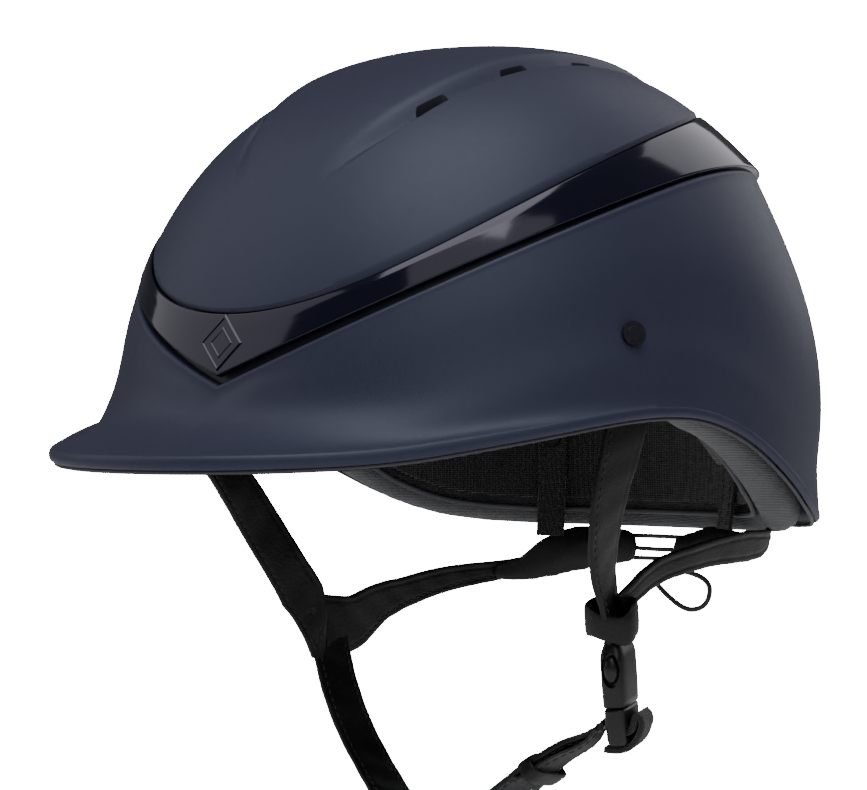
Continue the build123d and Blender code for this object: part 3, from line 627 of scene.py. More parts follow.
def inflate(ob, voxel, cap):
    """Swells a closed mesh with Cloth: remesh, pressure, no gravity, moves capped, one subdivision."""
    graph = bpy.context.evaluated_depsgraph_get
    mod = ob.modifiers.new("remesh", "REMESH")
    mod.mode, mod.voxel_size, mod.use_smooth_shade = "VOXEL", voxel * MM, True
    mesh = bpy.data.meshes.new_from_object(ob.evaluated_get(graph()))
    ob.modifiers.clear()
    mats = list(ob.data.materials)
    ob.data = mesh
    mesh.materials.clear()
    for m in mats:
        mesh.materials.append(m)
    rest = np.empty(len(mesh.vertices) * 3)
    mesh.vertices.foreach_get("co", rest)
    cloth = ob.modifiers.new("cloth", "CLOTH")
    cs = cloth.settings
    cs.use_pressure, cs.uniform_pressure_force = True, SOFT_PRESSURE
    cs.effector_weights.gravity = 0
    cs.quality, cs.mass = 6, 0.3
    cloth.point_cache.frame_start, cloth.point_cache.frame_end = 1, SOFT_FRAMES
    scene = bpy.context.scene
    for f in range(SOFT_FRAMES):
        scene.frame_set(f + 1)
    puffed = ob.evaluated_get(graph()).data
    out = np.empty(len(puffed.vertices) * 3)
    puffed.vertices.foreach_get("co", out)
    ob.modifiers.clear()
    scene.frame_set(1)
    move = (out - rest).reshape(-1, 3)
    size = np.linalg.norm(move, axis=1, keepdims=True) + 1e-12
    move *= np.minimum(1, cap * MM / size)
    mesh.vertices.foreach_set("co", (rest.reshape(-1, 3) + move).ravel())
    mesh.update()
    mesh.polygons.foreach_set("use_smooth", [True] * len(mesh.polygons))
    smooth = ob.modifiers.new("smooth", "SMOOTH")
    smooth.factor, smooth.iterations = 0.5, 1
    ob.modifiers.new("subdivision", "SUBSURF").levels = 1
    ob.modifiers["subdivision"].render_levels = 1
    return ob


def frames(stations, step=1.3):
    """Smooth centres with their along, across and outward directions."""
    centres = spline([p for p, _ in stations], 400)
    run = np.r_[0, np.cumsum(np.linalg.norm(np.diff(centres, axis=0), axis=1))]
    n = max(8, int(run[-1] / step))
    at = np.linspace(0, run[-1], n)
    c = np.stack([np.interp(at, run, centres[:, k]) for k in range(3)], 1)
    gaps = [np.linalg.norm(np.subtract(b[0], a[0])) for a, b in zip(stations, stations[1:])]
    knots = np.r_[0, np.cumsum(gaps)]
    knots *= run[-1] / knots[-1]
    side = np.stack([np.interp(at, knots, [s[1][k] for s in stations]) for k in range(3)], 1)
    for _ in range(6):
        side[1:-1] = (side[:-2] + side[1:-1] + side[2:]) / 3
    along = np.gradient(c, axis=0)
    along /= np.linalg.norm(along, axis=1, keepdims=True)
    side -= along * (side * along).sum(1, keepdims=True)
    side /= np.linalg.norm(side, axis=1, keepdims=True)
    return c, along, side, np.cross(side, along), at


def lerp(value, at):
    """A number, or a row of numbers spread evenly over the length."""
    if isinstance(value, (int, float)):
        return np.full(len(at), float(value))
    return np.interp(at / at[-1], np.linspace(0, 1, len(value)), value)


def tube_mesh(path, radius, sides):
    """Round tube along a path, capped at both ends."""
    path = np.asarray(path, float)
    t = np.gradient(path, axis=0)
    t /= np.linalg.norm(t, axis=1, keepdims=True)
    u = np.cross(t, [0.13, 0.31, 0.94])
    u /= np.linalg.norm(u, axis=1, keepdims=True)
    v = np.cross(t, u)
    q = circle(sides)
    ring = u[:, None] * np.cos(q)[None, :, None] + v[:, None] * np.sin(q)[None, :, None]
    verts = (path[:, None] + ring * radius).reshape(-1, 3)
    return verts, tube_faces(len(path), sides)


class Build:
    """Collects meshes of several materials into one object."""

    def __init__(self):
        self.v, self.f, self.m, self.n = [], [], [], 0

    def add(self, verts, faces, mat=0):
        self.v.append(np.asarray(verts, float))
        self.f += [tuple(i + self.n for i in f) for f in faces]
        self.m += [mat] * len(faces)
        self.n += len(verts)

    def make(self, name, mats):
        return new_object(name, np.concatenate(self.v), self.f, mats, self.m, 45)


def capsule(a, b, r, lift):
    """One stitch from a to b, its ends sunk, its middle lifted."""
    a, b, lift = np.asarray(a), np.asarray(b), np.asarray(lift)
    s = np.linspace(0, 1, 5)
    bow = np.array([-0.9, 0.35, 0.6, 0.35, -0.9]) * r
    path = a + (b - a) * s[:, None] + lift * bow[:, None]
    return tube_mesh(path, r, 6)


STITCH_PITCH, STITCH_LENGTH, STITCH_R, STITCH_START, SEAM_INSET = 2.9, 2.0, 0.27, 1.2, 2.1


def stitch_row(build, line, lift):
    """Stitches of the second material along a line, lift giving their outward direction."""
    run = np.r_[0, np.cumsum(np.linalg.norm(np.diff(line, axis=0), axis=1))]
    for k in range(int((run[-1] - 2) / STITCH_PITCH)):
        s0 = STITCH_START + k * STITCH_PITCH
        ends = [[np.interp(s, run, line[:, i]) for i in range(3)] for s in (s0, s0 + STITCH_LENGTH)]
        out = [np.interp(s0, run, lift[:, i]) for i in range(3)]
        build.add(*capsule(*ends, STITCH_R, out), 1)


def strap_section(w, t, groove):
    """Closed section (across, out): hollow faces, rounded edges, a sewn groove near each edge."""
    x = np.sin(np.linspace(-pi / 2, pi / 2, 31))
    prof = (1 - np.abs(x) ** 9) ** (1 / 5)
    dip = 1 - groove * np.exp(-((np.abs(x) * w / 2 - (w / 2 - SEAM_INSET)) / 0.5) ** 2)
    top = t / 2 * prof * dip * (1 - 0.06 * (1 - x * x))
    up_side = np.stack([x * w / 2, top], 1)
    return np.concatenate([up_side, up_side[-2:0:-1] * [1, -1]])


def ripple(amount, at, across):
    """Slow wrinkles along and across a strap."""
    return amount * (np.sin(at * 0.55 + across * 0.35) + np.sin(at * 0.23 + 1.7))


def strap(name, stations, width, thick, mats, stitches=(-1, 1), groove=0.16, wrinkle=0.1):
    """Sewn strap along its stations, with a row of stitches on both faces of each edge named."""
    c, along, side, out, at = frames(stations)
    w, t = lerp(width, at), np.full(len(at), thick)
    rows = []
    for i in range(len(c)):
        sec = strap_section(w[i], t[i], groove)
        wave = ripple(wrinkle, at[i], sec[:, 0])
        rows.append(c[i] + side[i] * sec[:, :1] + out[i] * (sec[:, 1] + wave)[:, None])
    b = Build()
    b.add(np.concatenate(rows), tube_faces(len(rows), len(rows[0])))
    off = w / 2 - SEAM_INSET
    for edge in stitches:
        for face in (1, -1):
            height = face * t * 0.5 * (1 - groove) + ripple(wrinkle, at, edge * off)
            line = c + side * (edge * off)[:, None] + out * height[:, None]
            stitch_row(b, line, out * face)
    return b.make(name, mats)


# ---------------------------------------------------------------- harness routes, mm
RIVET_ANGLE, STRAP_IN = 65.2, -5.8


def wall_point(side, angle, z, d):
    return tuple(float(v) for v in polar(angle, wall_radius(angle, z, d), z, side))


FRONT_LEFT = [(wall_point(1, RIVET_ANGLE, z, STRAP_IN), (0.36, 0.93, 0)) for z in (46, 38, 27, 14)] + [
    ((92.3, -39.0, -12), (0.1, 1, 0)), ((86.0, -34.5, -33), (-0.15, 0.98, 0.1)),
    ((82.4, -28.4, -43.6), (-0.35, 0.9, 0.2)), ((80.1, -22.6, -52.8), (-0.4, 0.9, 0.1)),
    ((79.4, -20.0, -60.5), (-0.4, 0.9, 0.1)),
]
FRONT_RIGHT = [(wall_point(-1, RIVET_ANGLE, z, STRAP_IN), (-0.36, 0.93, 0)) for z in (46, 38, 27, 14)] + [
    ((-90.5, -24.0, -8), (0.1, 0.9, 0.3)), ((-85.5, -12.0, -27), (0.4, 0.78, 0.44)),
    ((-79.5, -3.5, -44), (0.5, 0.7, 0.45)), ((-76.4, 1.2, -54), (0.5, 0.75, 0.35)),
    ((-75.0, 3.6, -63), (0.45, 0.8, 0.2)), ((-74.4, 4.6, -74), (0.4, 0.85, 0.1)),
]
REAR_LEFT = [
    ((82.6, -21.5, -48.0), (0.0, 0.5, 1)), ((82.4, -15.0, -44.0), (0.1, 0.4, 1)),
    ((81.6, -5, -39.4), (0.1, 0.3, 1)), ((80.4, 14, -35.4), (0.1, 0.1, 1)),
    ((76.5, 40, -33.0), (0.1, 0.1, 1)), ((71.5, 62, -32.4), (0.1, 0.1, 1)),
    ((66.6, 75.0, -31.4), (0.1, 0.1, 1)), ((62.6, 82.0, -29.6), (0, 0.1, 1)),
]
REAR_RIGHT = [
    ((-75.2, 9.8, -63.6), (0, 0.42, 0.91)), ((-74.4, 15.5, -63.4), (0, 0.2, 1)),
    ((-73.6, 22.0, -62.5), (0, -0.1, 1)), ((-73.8, 34, -57.5), (0, -0.2, 1)),
    ((-73.0, 50, -53), (0, -0.1, 1)), ((-70.0, 65, -49.6), (0, -0.1, 1)),
    ((-65.6, 75.6, -47.8), (0, 0, 1)), ((-59.5, 84.6, -46.4), (0, 0, 1)),
    ((-51.0, 91.0, -44.4), (0, 0, 1)),
]
JUNCTION = [
    ((-76.0, 2.0, -57.0), (0.5, 0.7, 0.35)), ((-75.2, 4.2, -62), (0.45, 0.8, 0.25)),
    ((-74.6, 5.4, -67.5), (0.4, 0.85, 0.2)), ((-74.2, 5.8, -74.0), (0.4, 0.9, 0.1)),
]
CHIN = [
    ((74.6, -17.6, -84.6), (-0.4, 0.9, 0.1)), ((72.2, -18.2, -87.4), (-0.4, 0.9, 0.1)),
    ((65.5, -26.0, -93.4), (-0.2, 0.9, -0.1)),
    ((52, -33.5, -104.5), (0, 0.9, -0.2)), ((29, -33.0, -119.0), (0, 1, -0.1)),
    ((0, -17, -127), (0, 1, 0)), ((-28, 1.5, -125.5), (0, 1, 0.1)),
    ((-48.5, 11.5, -116), (0.1, 1, 0.2)), ((-61, 13.4, -102.5), (0.15, 1, 0.2)),
    ((-68.2, 12.0, -88), (0.2, 1, 0.15)), ((-73.2, 12.2, -74.2), (0.2, 1, 0.1)),
    ((-75.2, 12.4, -67), (0.2, 1, 0.1)),
]
CHIN_LAYER = [
    ((73.2, -20.4, -87.6), (-0.4, 0.9, 0)), ((71.4, -21.0, -90.8), (-0.3, 0.9, 0)),
    ((64.6, -27.4, -97.0), (-0.2, 0.9, -0.1)), ((53.4, -34.0, -106.8), (0, 0.9, -0.2)),
]
KEEPER = ((60.0, -30.0, -99.6), (55.6, -32.6, -103.2))
SEWN = [LEATHER, THREAD]

FIXED_STRAPS = (
    ("strap_front_left", "front_strap_left", FRONT_LEFT, 15, 2.3, (-1,)),
    ("strap_front_right", "front_strap_right", FRONT_RIGHT, [15] * 10 + [16, 10, 2.5], 2.3, (-1,)),
    ("strap_rear_left", "rear_strap_left", REAR_LEFT, [7, 8.5, 8.5, 8.5, 9, 10, 10.5, 9, 4], 2.2, ()),
    ("strap_rear_right", "rear_strap_right", REAR_RIGHT, [23, 20, 17, 13.5, 11, 10, 9, 8, 7, 6.5], 2.2,
     (-1,)),
    ("junction_patch", "junction_right", JUNCTION, [6, 8, 6, 2], 3.0, (1,)),
)
for name, node, route, width, thick, stitches in FIXED_STRAPS:
    put(strap(name, route, width, thick, SEWN, stitches), "helmet", node)
chin = strap("strap_chin", CHIN, 15, 2.2, SEWN)
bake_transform(chin)
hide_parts("chin_strap")
put(strap("chin_layer", CHIN_LAYER, 14, 1.1, [WEBBING, THREAD], groove=0.0, wrinkle=0.05), "tongue",
    "chin_webbing")


def loop_band(name, centre, across, down, depth, wide, height, thick, tilt, twist):
    """Closed band of leather round a strap; tilt and twist move its sides along the strap."""
    centre, across, down = (np.asarray(v, float) for v in (centre, across, down))
    across, down = across / np.linalg.norm(across), down / np.linalg.norm(down)
    out = np.cross(down, across)
    rows = []
    for q in circle(48):
        rx, ry = signed_power(cos(q), 0.75) * wide / 2, signed_power(sin(q), 0.75) * depth / 2
        n = across * cos(q) / wide + out * sin(q) / depth
        n /= np.linalg.norm(n)
        mid = centre + across * rx + out * ry + down * (tilt * cos(q) + twist * sin(q) * max(-cos(q), 0.0))
        h = height * (1 - 0.12 * cos(2 * q))
        for p in circle(14):
            u = signed_power(cos(p), 0.6) * h / 2
            v = signed_power(sin(p), 0.6) * thick / 2
            rows.append(mid + down * u + n * (v + 0.25 * sin(3 * q)))
    return new_object(name, rows, grid_faces(48, 14, True, True), [LEATHER])


tab = loop_band("loop_tab", (80.4, -23.4, -52.4), (-0.4, 0.9, 0.15), (-0.1, 0.2, -0.97), depth=15.0,
                wide=14.0, height=10.0, thick=2.0, tilt=-1.7, twist=2.6)
put(tab, "helmet", "loop_tab_left")
keeper_mid = np.mean(KEEPER, axis=0)
keeper_run = np.subtract(KEEPER[1], KEEPER[0])
keeper = loop_band("keeper", keeper_mid, (-0.1, 0.9, -0.15), keeper_run, depth=8.0, wide=18.4, height=5.6,
                   thick=1.4, tilt=0.0, twist=0.0)
put(keeper, "tongue", "strap_keeper")


# ---------------------------------------------------------------- rim padding, piping, binding, lining
REAR = np.linspace(72, 180, 110)
FULL = np.linspace(0, 180, 160)
PAD_TOP, PAD_DROP, PAD_IN = 8.2, 9.8, 12.4


def padding_section(a):
    """Roll under the rim, thinner where it begins at the temples; slimmer where Cloth will swell it."""
    low = rim(a)
    r = float(wall_radius(a, low))
    ease = float(smoothstep(70, 84, a))
    half = 7.2
    bottom = -PAD_DROP * (0.45 + 0.55 * ease)
    rows = []
    for q in circle(36):
        x = signed_power(cos(q), 0.7) * half
        y = sin(q) * 0.6 if sin(q) > 0 else bottom * abs(sin(q)) ** 0.62
        rows.append((r - PAD_IN + x, low + PAD_TOP - 1.0 + y))
    return rows


padding = ring_object("padding_rim", padding_section, behind(REAR), [PAD], 50)
inflate(padding, 2.6, 1.8)
put(padding, "helmet", "rim_padding")


def bead(name, line, radius, angles, node, closed=False):
    """Round cord along a line (r, z) of the rim."""
    pts = [polar(a, *line(a)) for a in angles]
    pts = np.array(pts + [p * [-1, 1, 1] for p in (pts[-2:0:-1] if closed else pts[-2::-1])])
    q = circle(10)
    before, after = np.roll(pts, 1, 0), np.roll(pts, -1, 0)
    if not closed:
        before[0], after[-1] = pts[0], pts[-1]
    t = after - before
    t /= np.linalg.norm(t, axis=1, keepdims=True)
    u = np.cross(t, [0, 0, 1.0])
    u /= np.linalg.norm(u, axis=1, keepdims=True)
    v = np.cross(t, u)
    ring = u[:, None] * np.cos(q)[None, :, None] + v[:, None] * np.sin(q)[None, :, None]
    rings = pts[:, None] + radius * ring
    faces = grid_faces(len(pts), 10, True, True) if closed else tube_faces(len(pts), 10)
    put(new_object(name, rings.reshape(-1, 3), faces, [EDGING]), "helmet", node)


def piping_line(a):
    return float(wall_radius(a, rim(a))) - 21.35, rim(a) + 3.4


def binding_line(a):
    return float(wall_radius(a, rim(a)) + peak(a)) - 2.6, rim(a) - 0.55


bead("piping", piping_line, 1.0, REAR, "rim_piping")
bead("binding", binding_line, 0.65, FULL, "rim_binding", closed=True)


def lining_section(a):
    """Thin cloth under the peak."""
    low, p = rim(a), float(peak(a))
    base = float(wall_radius(a, low))
    top = [(base + p - 3.9, low - 0.25), (base + 0.5 * p - SHELL_T - 0.2, low + 2.9),
           (float(wall_radius(a, low + 9.5)) + 0.12 * p - SHELL_T - 0.5, low + 8.6)]
    o = spline(top, 16)
    return np.concatenate([o, o[::-1] + [-0.3, -1.2]])


peak_cloth = ring_object("lining_peak", lining_section, in_front(np.linspace(0, 56, 60)), [MESH_CLOTH], 40)
put(peak_cloth, "helmet", "peak_lining")


def quilted(a, low, high, depth, thick, crease, count):
    """Rounded section of a band of cloth inside the dome, its inner face drawn in where it is sewn."""
    rows = []
    for q in circle(count):
        z = (low + high) / 2 + (high - low) / 2 * signed_power(sin(q), 0.5)
        reach = thick - thick * signed_power(cos(q), 0.5) * (crease if cos(q) < 0 else 1)
        rows.append((float(wall_radius(a, z, -depth - reach)), z))
    return rows


def headband_section(a):
    """Padded band, sewn every 16 degrees."""
    seam = abs((a + 8) % 16 - 8)
    crease = 1 - 0.42 * np.exp(-(seam / 1.1) ** 2)
    return quilted(a, max(rim(a) + 6.0, -9.0), 30.0, 23.1, 2.5, crease, 40)


band_pad = ring_object("headband_pad", headband_section, in_front(np.linspace(0, 110, 166)), [BAND_CLOTH], 40)
put(band_pad, "headband", "headband")


def back_lining_section(a):
    """Quilted cloth over the foam at the back of the head, sewn every 17 degrees."""
    crease = 1 - 0.5 * np.exp(-(((a - 112) % 17) / 1.2) ** 2)
    return quilted(a, rim(a) + 7.0, 34.0, 22.15, 0.55, crease, 32)


back_turn = behind(np.linspace(112, 180, 100))
back_cloth = ring_object("lining_back", back_lining_section, back_turn, [MESH_CLOTH], 50)
put(back_cloth, "helmet", None)


# ---------------------------------------------------------------- pads
CROWN_PAD_Y, CROWN_PAD_T, CROWN_PAD_DEPTH = 12, 3.4, 25.2


def pillow(name, x0, wide, long):
    """Rounded cushion lying against the inside of the dome."""
    rows = []
    d = -CROWN_PAD_DEPTH
    for w in np.linspace(-pi / 2, pi / 2, 17):
        for q in circle(48):
            e = signed_power(cos(w), 0.5)
            x = x0 + wide / 2 * e * signed_power(cos(q), 0.45)
            y = CROWN_PAD_Y + long / 2 * e * signed_power(sin(q), 0.45)
            a = abs(np.degrees(atan2(x, AXIS_Y - y)))
            r = min(float(np.hypot(x, y - AXIS_Y)), 75.0)
            n = WALL_POWER - WALL_DROP * max(cos(radians(a)), 0.0) ** 2
            z = (SHELL_HEIGHT + d) * (1 - min(r / float(plan_radius(a, d)), 0.999) ** n) ** (1 / n)
            rows.append((x, y, z + CROWN_PAD_T / 2 * sin(w)))
    return new_object(name, rows, tube_faces(17, 48), [MESH_CLOTH], angle=80)


for i, (x0, wide, long) in enumerate(((0, 25, 118), (42, 21, 82), (-42, 21, 82))):
    pad = inflate(pillow(f"crown_pad_{i}", x0, wide, long), 2.4, 1.2)
    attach(pad, "helmet")
    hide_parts("crown_pad")

LEFT_PAD = [(140, 96.0, -33.0, 7.0, 3.2), (147, 91.5, -33.4, 9.5, 4.6), (154, 89.4, -34.2, 12.6, 5.6),
            (163, 89.6, -35.0, 14.5, 5.4), (172, 90.2, -37.4, 13.4, 5.0), (175, 90.4, -37.4, 12.8, 5.0)]
RIGHT_PAD = [(140, 95.0, -47.2, 7.0, 3.2), (147, 91.5, -45.6, 10.0, 4.6), (154, 89.4, -41.0, 16.0, 5.6),
             (163, 89.6, -37.4, 18.0, 5.4), (172, 90.2, -36.8, 15.0, 5.0), (175, 90.4, -36.8, 14.0, 5.0)]


def nape_pad(name, side, rows):
    """Slim cushion through rows of (angle, r, z, width, thickness), on one side of the nape."""
    stations = [(tuple(float(v) for v in polar(a, r, z, side)), (0, 0, 1)) for a, r, z, _, _ in rows]
    c, along, across, out, at = frames(stations, 1.6)
    w, t = lerp([r[3] for r in rows], at), lerp([r[4] for r in rows], at)
    shape = []
    for i in range(len(c)):
        u = at[i] / at[-1]
        round_end = (1 - abs(2 * u - 1) ** 12) ** 0.5 * 0.85 + 0.15
        for q in circle(32):
            x = signed_power(cos(q), 0.6) * (w[i] - 1.4) / 2 * round_end
            y = signed_power(sin(q), 0.8) * (t[i] - 1.0) / 2 * round_end
            shape.append(c[i] + across[i] * x + out[i] * y)
    return new_object(name, shape, tube_faces(len(c), 32), [LEATHER], angle=70)


for side, rows, label in ((1, LEFT_PAD, "left"), (-1, RIGHT_PAD, "right")):
    pad = inflate(nape_pad(f"nape_{label}", side, rows), 1.2, 0.8)
    put(pad, "helmet", f"nape_pad_{label}")

for side, low in ((1, -29.0), (-1, -33.5)):
    rows = ((low, -25.3), (-16, -24.7), (-4, -24.4), (6, -24.4))
    route = [(wall_point(side, 154, z, d), (1, -0.5 * side, 0)) for z, d in rows]
    label = "left" if side > 0 else "right"
    hanger = strap(f"hanger_{label}", route, 10, 1.6, [MESH_CLOTH, MESH_CLOTH], groove=0.0, wrinkle=0.0)
    put(hanger, "helmet", "nape_hangers")

# ---------------------------------------------------------------- lacing
LACE_Y, LACE_X, LACE_HEIGHTS, LACE_R, TURN_R, TURN_OUT = 102.4, 17.0, (-33.3, -37.2, -41.1), 0.8, 1.95, 1.9


def lacing_path():
    """Three runs between the eyelets of the two nape pads, joined by turns at alternate ends."""
    path = []
    for i, z in enumerate(LACE_HEIGHTS):
        way = 1 if i % 2 == 0 else -1
        sag = 0.5 if i == 1 else -0.2
        for s in np.linspace(-way, way, 30):
            bow = 0.002 * (LACE_X**2 - (LACE_X * s) ** 2)
            path.append((LACE_X * s, LACE_Y - bow, z - sag * (1 - s * s)))
        if i < len(LACE_HEIGHTS) - 1:
            for q in np.linspace(-pi / 2, pi / 2, 9)[1:-1]:
                path.append((way * (LACE_X + TURN_OUT * cos(q)), LACE_Y, z - TURN_R - TURN_R * sin(q)))
    return path


b = Build()
b.add(*tube_mesh(lacing_path(), LACE_R, 10))
put(b.make("lacing", [LACE]), "helmet", "nape_lace")


# ---------------------------------------------------------------- buckle
BUCKLE_AT = np.array([79.3, -19.6, -60.0])
BUCKLE_ACROSS = np.array([-0.404875, 0.909363, 0.095578])
BUCKLE_OUT = np.array([0.914372, 0.402657, 0.042321])
BUCKLE_DOWN = np.array([0.0, 0.104528, -0.994522])


def buckle_point(u, w, s):
    """Point u across the buckle, w out of its face and s down it."""
    return BUCKLE_AT + BUCKLE_ACROSS * u + BUCKLE_OUT * w + BUCKLE_DOWN * s


def moulded(build, rows, power=0.5, u0=0.0):
    """Sweeps rounded rectangles down the buckle; a row is (drop, half width, half depth)."""
    rings = []
    for s, a, b in rows:
        for q in circle(44):
            u, w = a * signed_power(cos(q), power), b * signed_power(sin(q), power)
            rings.append(buckle_point(u0 + u, w, s))
    build.add(rings, tube_faces(len(rows), 44))


def window_block(side):
    """Elliptical block that opens one side of the socket over its button."""
    drop, half_drop, half_depth, u_in, u_out = 7.6, 5.6, 3.0, side * 8.1, side * 14
    ring = [(half_depth * cos(q), drop + half_drop * sin(q)) for q in circle(40)]
    b = Build()
    b.add([buckle_point(u, w, s) for u in (u_in, u_out) for w, s in ring], tube_faces(2, 40))
    return b.make("window", [BUCKLE])


def slot_block():
    """Rounded block that cuts the strap slot through the tongue."""
    ring = [(8.2 * signed_power(cos(q), 0.4), 28.4 + 2.2 * signed_power(sin(q), 0.5)) for q in circle(40)]
    b = Build()
    b.add([buckle_point(u, w, s) for w in (-9, 9) for u, s in ring], tube_faces(2, 40))
    return b.make("slot", [BUCKLE])


def buckle_socket():
    b = Build()
    moulded(b, [(-3.2, 6.6, 2.0), (-3.0, 7.4, 2.6), (0, 8.4, 3.1), (2.2, 9.8, 3.9), (4.4, 10.5, 4.2),
                (12, 10.6, 4.25), (17.5, 10.3, 4.2), (19.5, 10.1, 4.1), (20, 9.6, 3.7)])
    socket = b.make("socket", [BUCKLE])
    for side in (-1, 1):
        carve(socket, window_block(side), 38)
    return socket


def buckle_button(side, label):
    """Springy arm with the round knob that is squeezed through the socket's window."""
    arm = Build()
    moulded(arm, [(5.4, 1.0, 2.2), (14, 1.0, 2.2), (22.5, 1.4, 2.2)], 0.35, side * 5.9)
    knob = [(t, (1 - t * t) ** 0.5) for t in np.linspace(-0.98, 0.98, 15)]
    moulded(arm, [(7.6 + 4.6 * t, 2.6 * k, 2.3 * k) for t, k in knob], 0.8, side * 8.9)
    return arm.make(f"button_{label}", [BUCKLE])


def buckle_tongue():
    b = Build()
    moulded(b, [(20.4, 9.7, 3.5), (20.9, 10.2, 3.9), (26, 10.2, 3.9), (30.5, 9.6, 3.7), (32, 8.8, 3.2),
                (32.4, 7.6, 2.4)])
    tongue = b.make("tongue_body", [BUCKLE])
    carve(tongue, slot_block(), 38)
    return tongue


def chin_fold():
    """End of the chin strap, folded through the tongue's slot: (out, down) in the buckle's own plane."""
    route = ((2.0, 28.6), (4.2, 27.8), (5.4, 24.6), (6.6, 22.8), (7.8, 24.4), (7.2, 28.0), (5.2, 31.6),
             (2.4, 33.6), (-1.5, 34.2), (-5.0, 33.8))
    stations = [(tuple(buckle_point(0, w, s)), tuple(BUCKLE_ACROSS)) for w, s in route]
    return strap("chin_fold", stations, 13, 2.2, [WEBBING, THREAD], stitches=(), groove=0.0, wrinkle=0.04)


put(buckle_socket(), "helmet", "buckle_socket")
for side, label in ((-1, "front"), (1, "rear")):
    put(buckle_button(side, label), f"prong_{label}", f"prong_{label}")
put(buckle_tongue(), "tongue", "buckle_tongue")
guide = Build()
moulded(guide, [(13, 0.7, 1.2), (14, 1.2, 1.7), (21, 1.5, 1.7)], 0.35)
put(guide.make("tongue_guide", [BUCKLE]), "tongue", None)
put(chin_fold(), "tongue", None)


# ---------------------------------------------------------------- badge
def badge_plate():
    """Diamond plate bent to the band, with a raised rim and a smaller raised diamond inside."""
    steps = [(0, 0.25), (0.42, 0.25), (0.46, 0.5), (0.52, 0.5), (0.56, 0.25), (0.84, 0.25), (0.88, 0.62),
             (0.94, 0.62), (1.0, 0.1), (1.01, -1.2)]
    half_wide, half_high, middle, n = 8.9, 9.0, 35.4, 80
    rows = []
    for rho, h in steps:
        for q in circle(n):
            k = rho / (abs(cos(q)) / half_wide + abs(sin(q)) / half_high)
            u, z = k * cos(q), middle + k * sin(q)
            a = abs(np.degrees(u / float(wall_radius(0, z))))
            rows.append(polar(a, wall_radius(a, z) + 0.5 + h, z, 1 if u >= 0 else -1))
    faces = grid_faces(len(steps), n, False, True)
    faces += [tuple(reversed(range((len(steps) - 1) * n, len(steps) * n)))]
    return new_object("badge_plate", rows, faces, [GLOSS], angle=20)


put(badge_plate(), "helmet", "badge")


# ---------------------------------------------------------------- carried-over CAD nodes
def dress(node, mat, bevel):
    """Gives a CAD node that is kept as it is its material and softened edges."""
    ob = nodes[node]
    ob.data.materials.clear()
    ob.data.materials.append(mat)
    if bevel:
        b = ob.modifiers.new("bevel", "BEVEL")
        b.width, b.segments, b.limit_method, b.angle_limit = bevel * MM, 3, "ANGLE", radians(35)


for name, mat, bevel in (
        ("channel_frame", FRAME_MAT, 0), ("eps_liner_lower", EPS, 0.8), ("eps_liner_crown", EPS, 0),
        ("harness_rivets", RIVET, 0.3), ("rivet_washers", STEEL, 0.2), ("hanger_screws", EYELET, 0.1),
        ("lace_eyelets", EYELET, 0.1)):
    dress(name, mat, bevel)


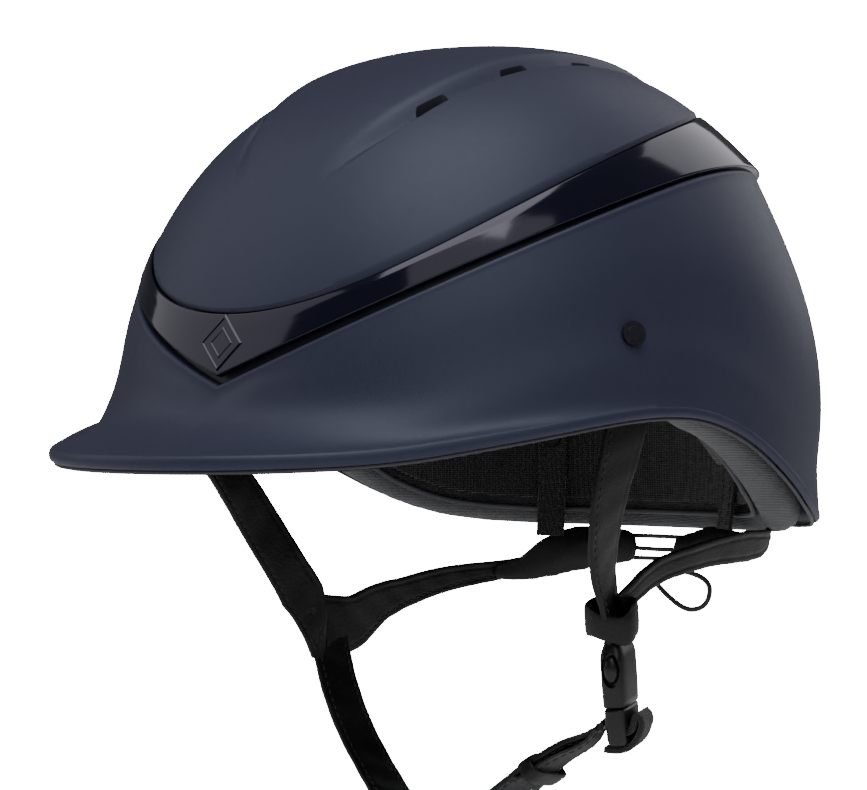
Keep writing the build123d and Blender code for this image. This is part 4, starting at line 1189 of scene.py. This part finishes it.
# ---------------------------------------------------------------- stage and light
WHITE = 30.0
floor_mat = Mat("floor")
floor_mat.set(Base_Color=(0.82, 0.82, 0.83, 1), Roughness=0.9)
seen = floor_mat.node("LightPath").outputs["Is Camera Ray"]
glow = floor_mat.node("Emission", {"Color": (1, 1, 1, 1), "Strength": WHITE}).outputs[0]
mixer = floor_mat.node("MixShader", {0: seen, 1: floor_mat.b.outputs[0], 2: glow})
floor_mat.t.links.new(mixer.outputs[0], floor_mat.t.nodes["Material Output"].inputs["Surface"])
FLOOR_HALF, FLOOR_Z = 30, -0.30
floor_mesh = bpy.data.meshes.new("floor")
corners = [(x, y, FLOOR_Z) for x, y in ((-1, -1), (1, -1), (1, 1), (-1, 1))]
floor_mesh.from_pydata([(x * FLOOR_HALF, y * FLOOR_HALF, z) for x, y, z in corners], [], [(0, 1, 2, 3)])
floor_mesh.materials.append(floor_mat.m)
floor = bpy.data.objects.new("floor", floor_mesh)
bpy.context.scene.collection.objects.link(floor)


MIDDLE = Vector((0, 0, 0.04))


def softbox(name, turn, rise, distance, wide, high, radiance):
    """Soft panel of light facing the helmet, turn degrees right of the camera and rise degrees up."""
    li = bpy.data.lights.new(name, "AREA")
    li.shape = "RECTANGLE"
    li.size, li.size_y = wide, high
    li.energy = radiance * pi * wide * high
    ob = bpy.data.objects.new(name, li)
    q, e = AZ + radians(turn), radians(rise)
    ob.location = Vector((sin(q) * cos(e), -cos(q) * cos(e), sin(e))) * distance + MIDDLE
    ob.rotation_euler = (MIDDLE - ob.location).to_track_quat("-Z", "Y").to_euler()
    bpy.context.scene.collection.objects.link(ob)


softbox("left", -96, 30, 2.2, 2.6, 2.0, 0.75)
softbox("key", 21, 34, 2.2, 2.1, 1.6, 0.8)
softbox("right", 140, 26, 2.2, 1.4, 1.8, 1.1)
softbox("top", 0, 76, 2.0, 1.8, 1.8, 2.8)
world = bpy.data.worlds.new("studio")
bpy.context.scene.world = world
world.use_nodes = True
wt = world.node_tree
rays = wt.nodes.new("ShaderNodeLightPath").outputs
last = wt.nodes["Background"].outputs[0]
wt.nodes["Background"].inputs["Color"].default_value = (0.9, 0.91, 0.93, 1)
wt.nodes["Background"].inputs["Strength"].default_value = 0.3
for ray, strength in (("Is Glossy Ray", 0.07), ("Is Camera Ray", WHITE)):
    layer = wt.nodes.new("ShaderNodeBackground")
    layer.inputs["Color"].default_value = (1, 1, 1, 1)
    layer.inputs["Strength"].default_value = strength
    joint = wt.nodes.new("ShaderNodeMixShader")
    wt.links.new(rays[ray], joint.inputs[0])
    wt.links.new(last, joint.inputs[1])
    wt.links.new(layer.outputs[0], joint.inputs[2])
    last = joint.outputs[0]
wt.links.new(last, wt.nodes["World Output"].inputs["Surface"])
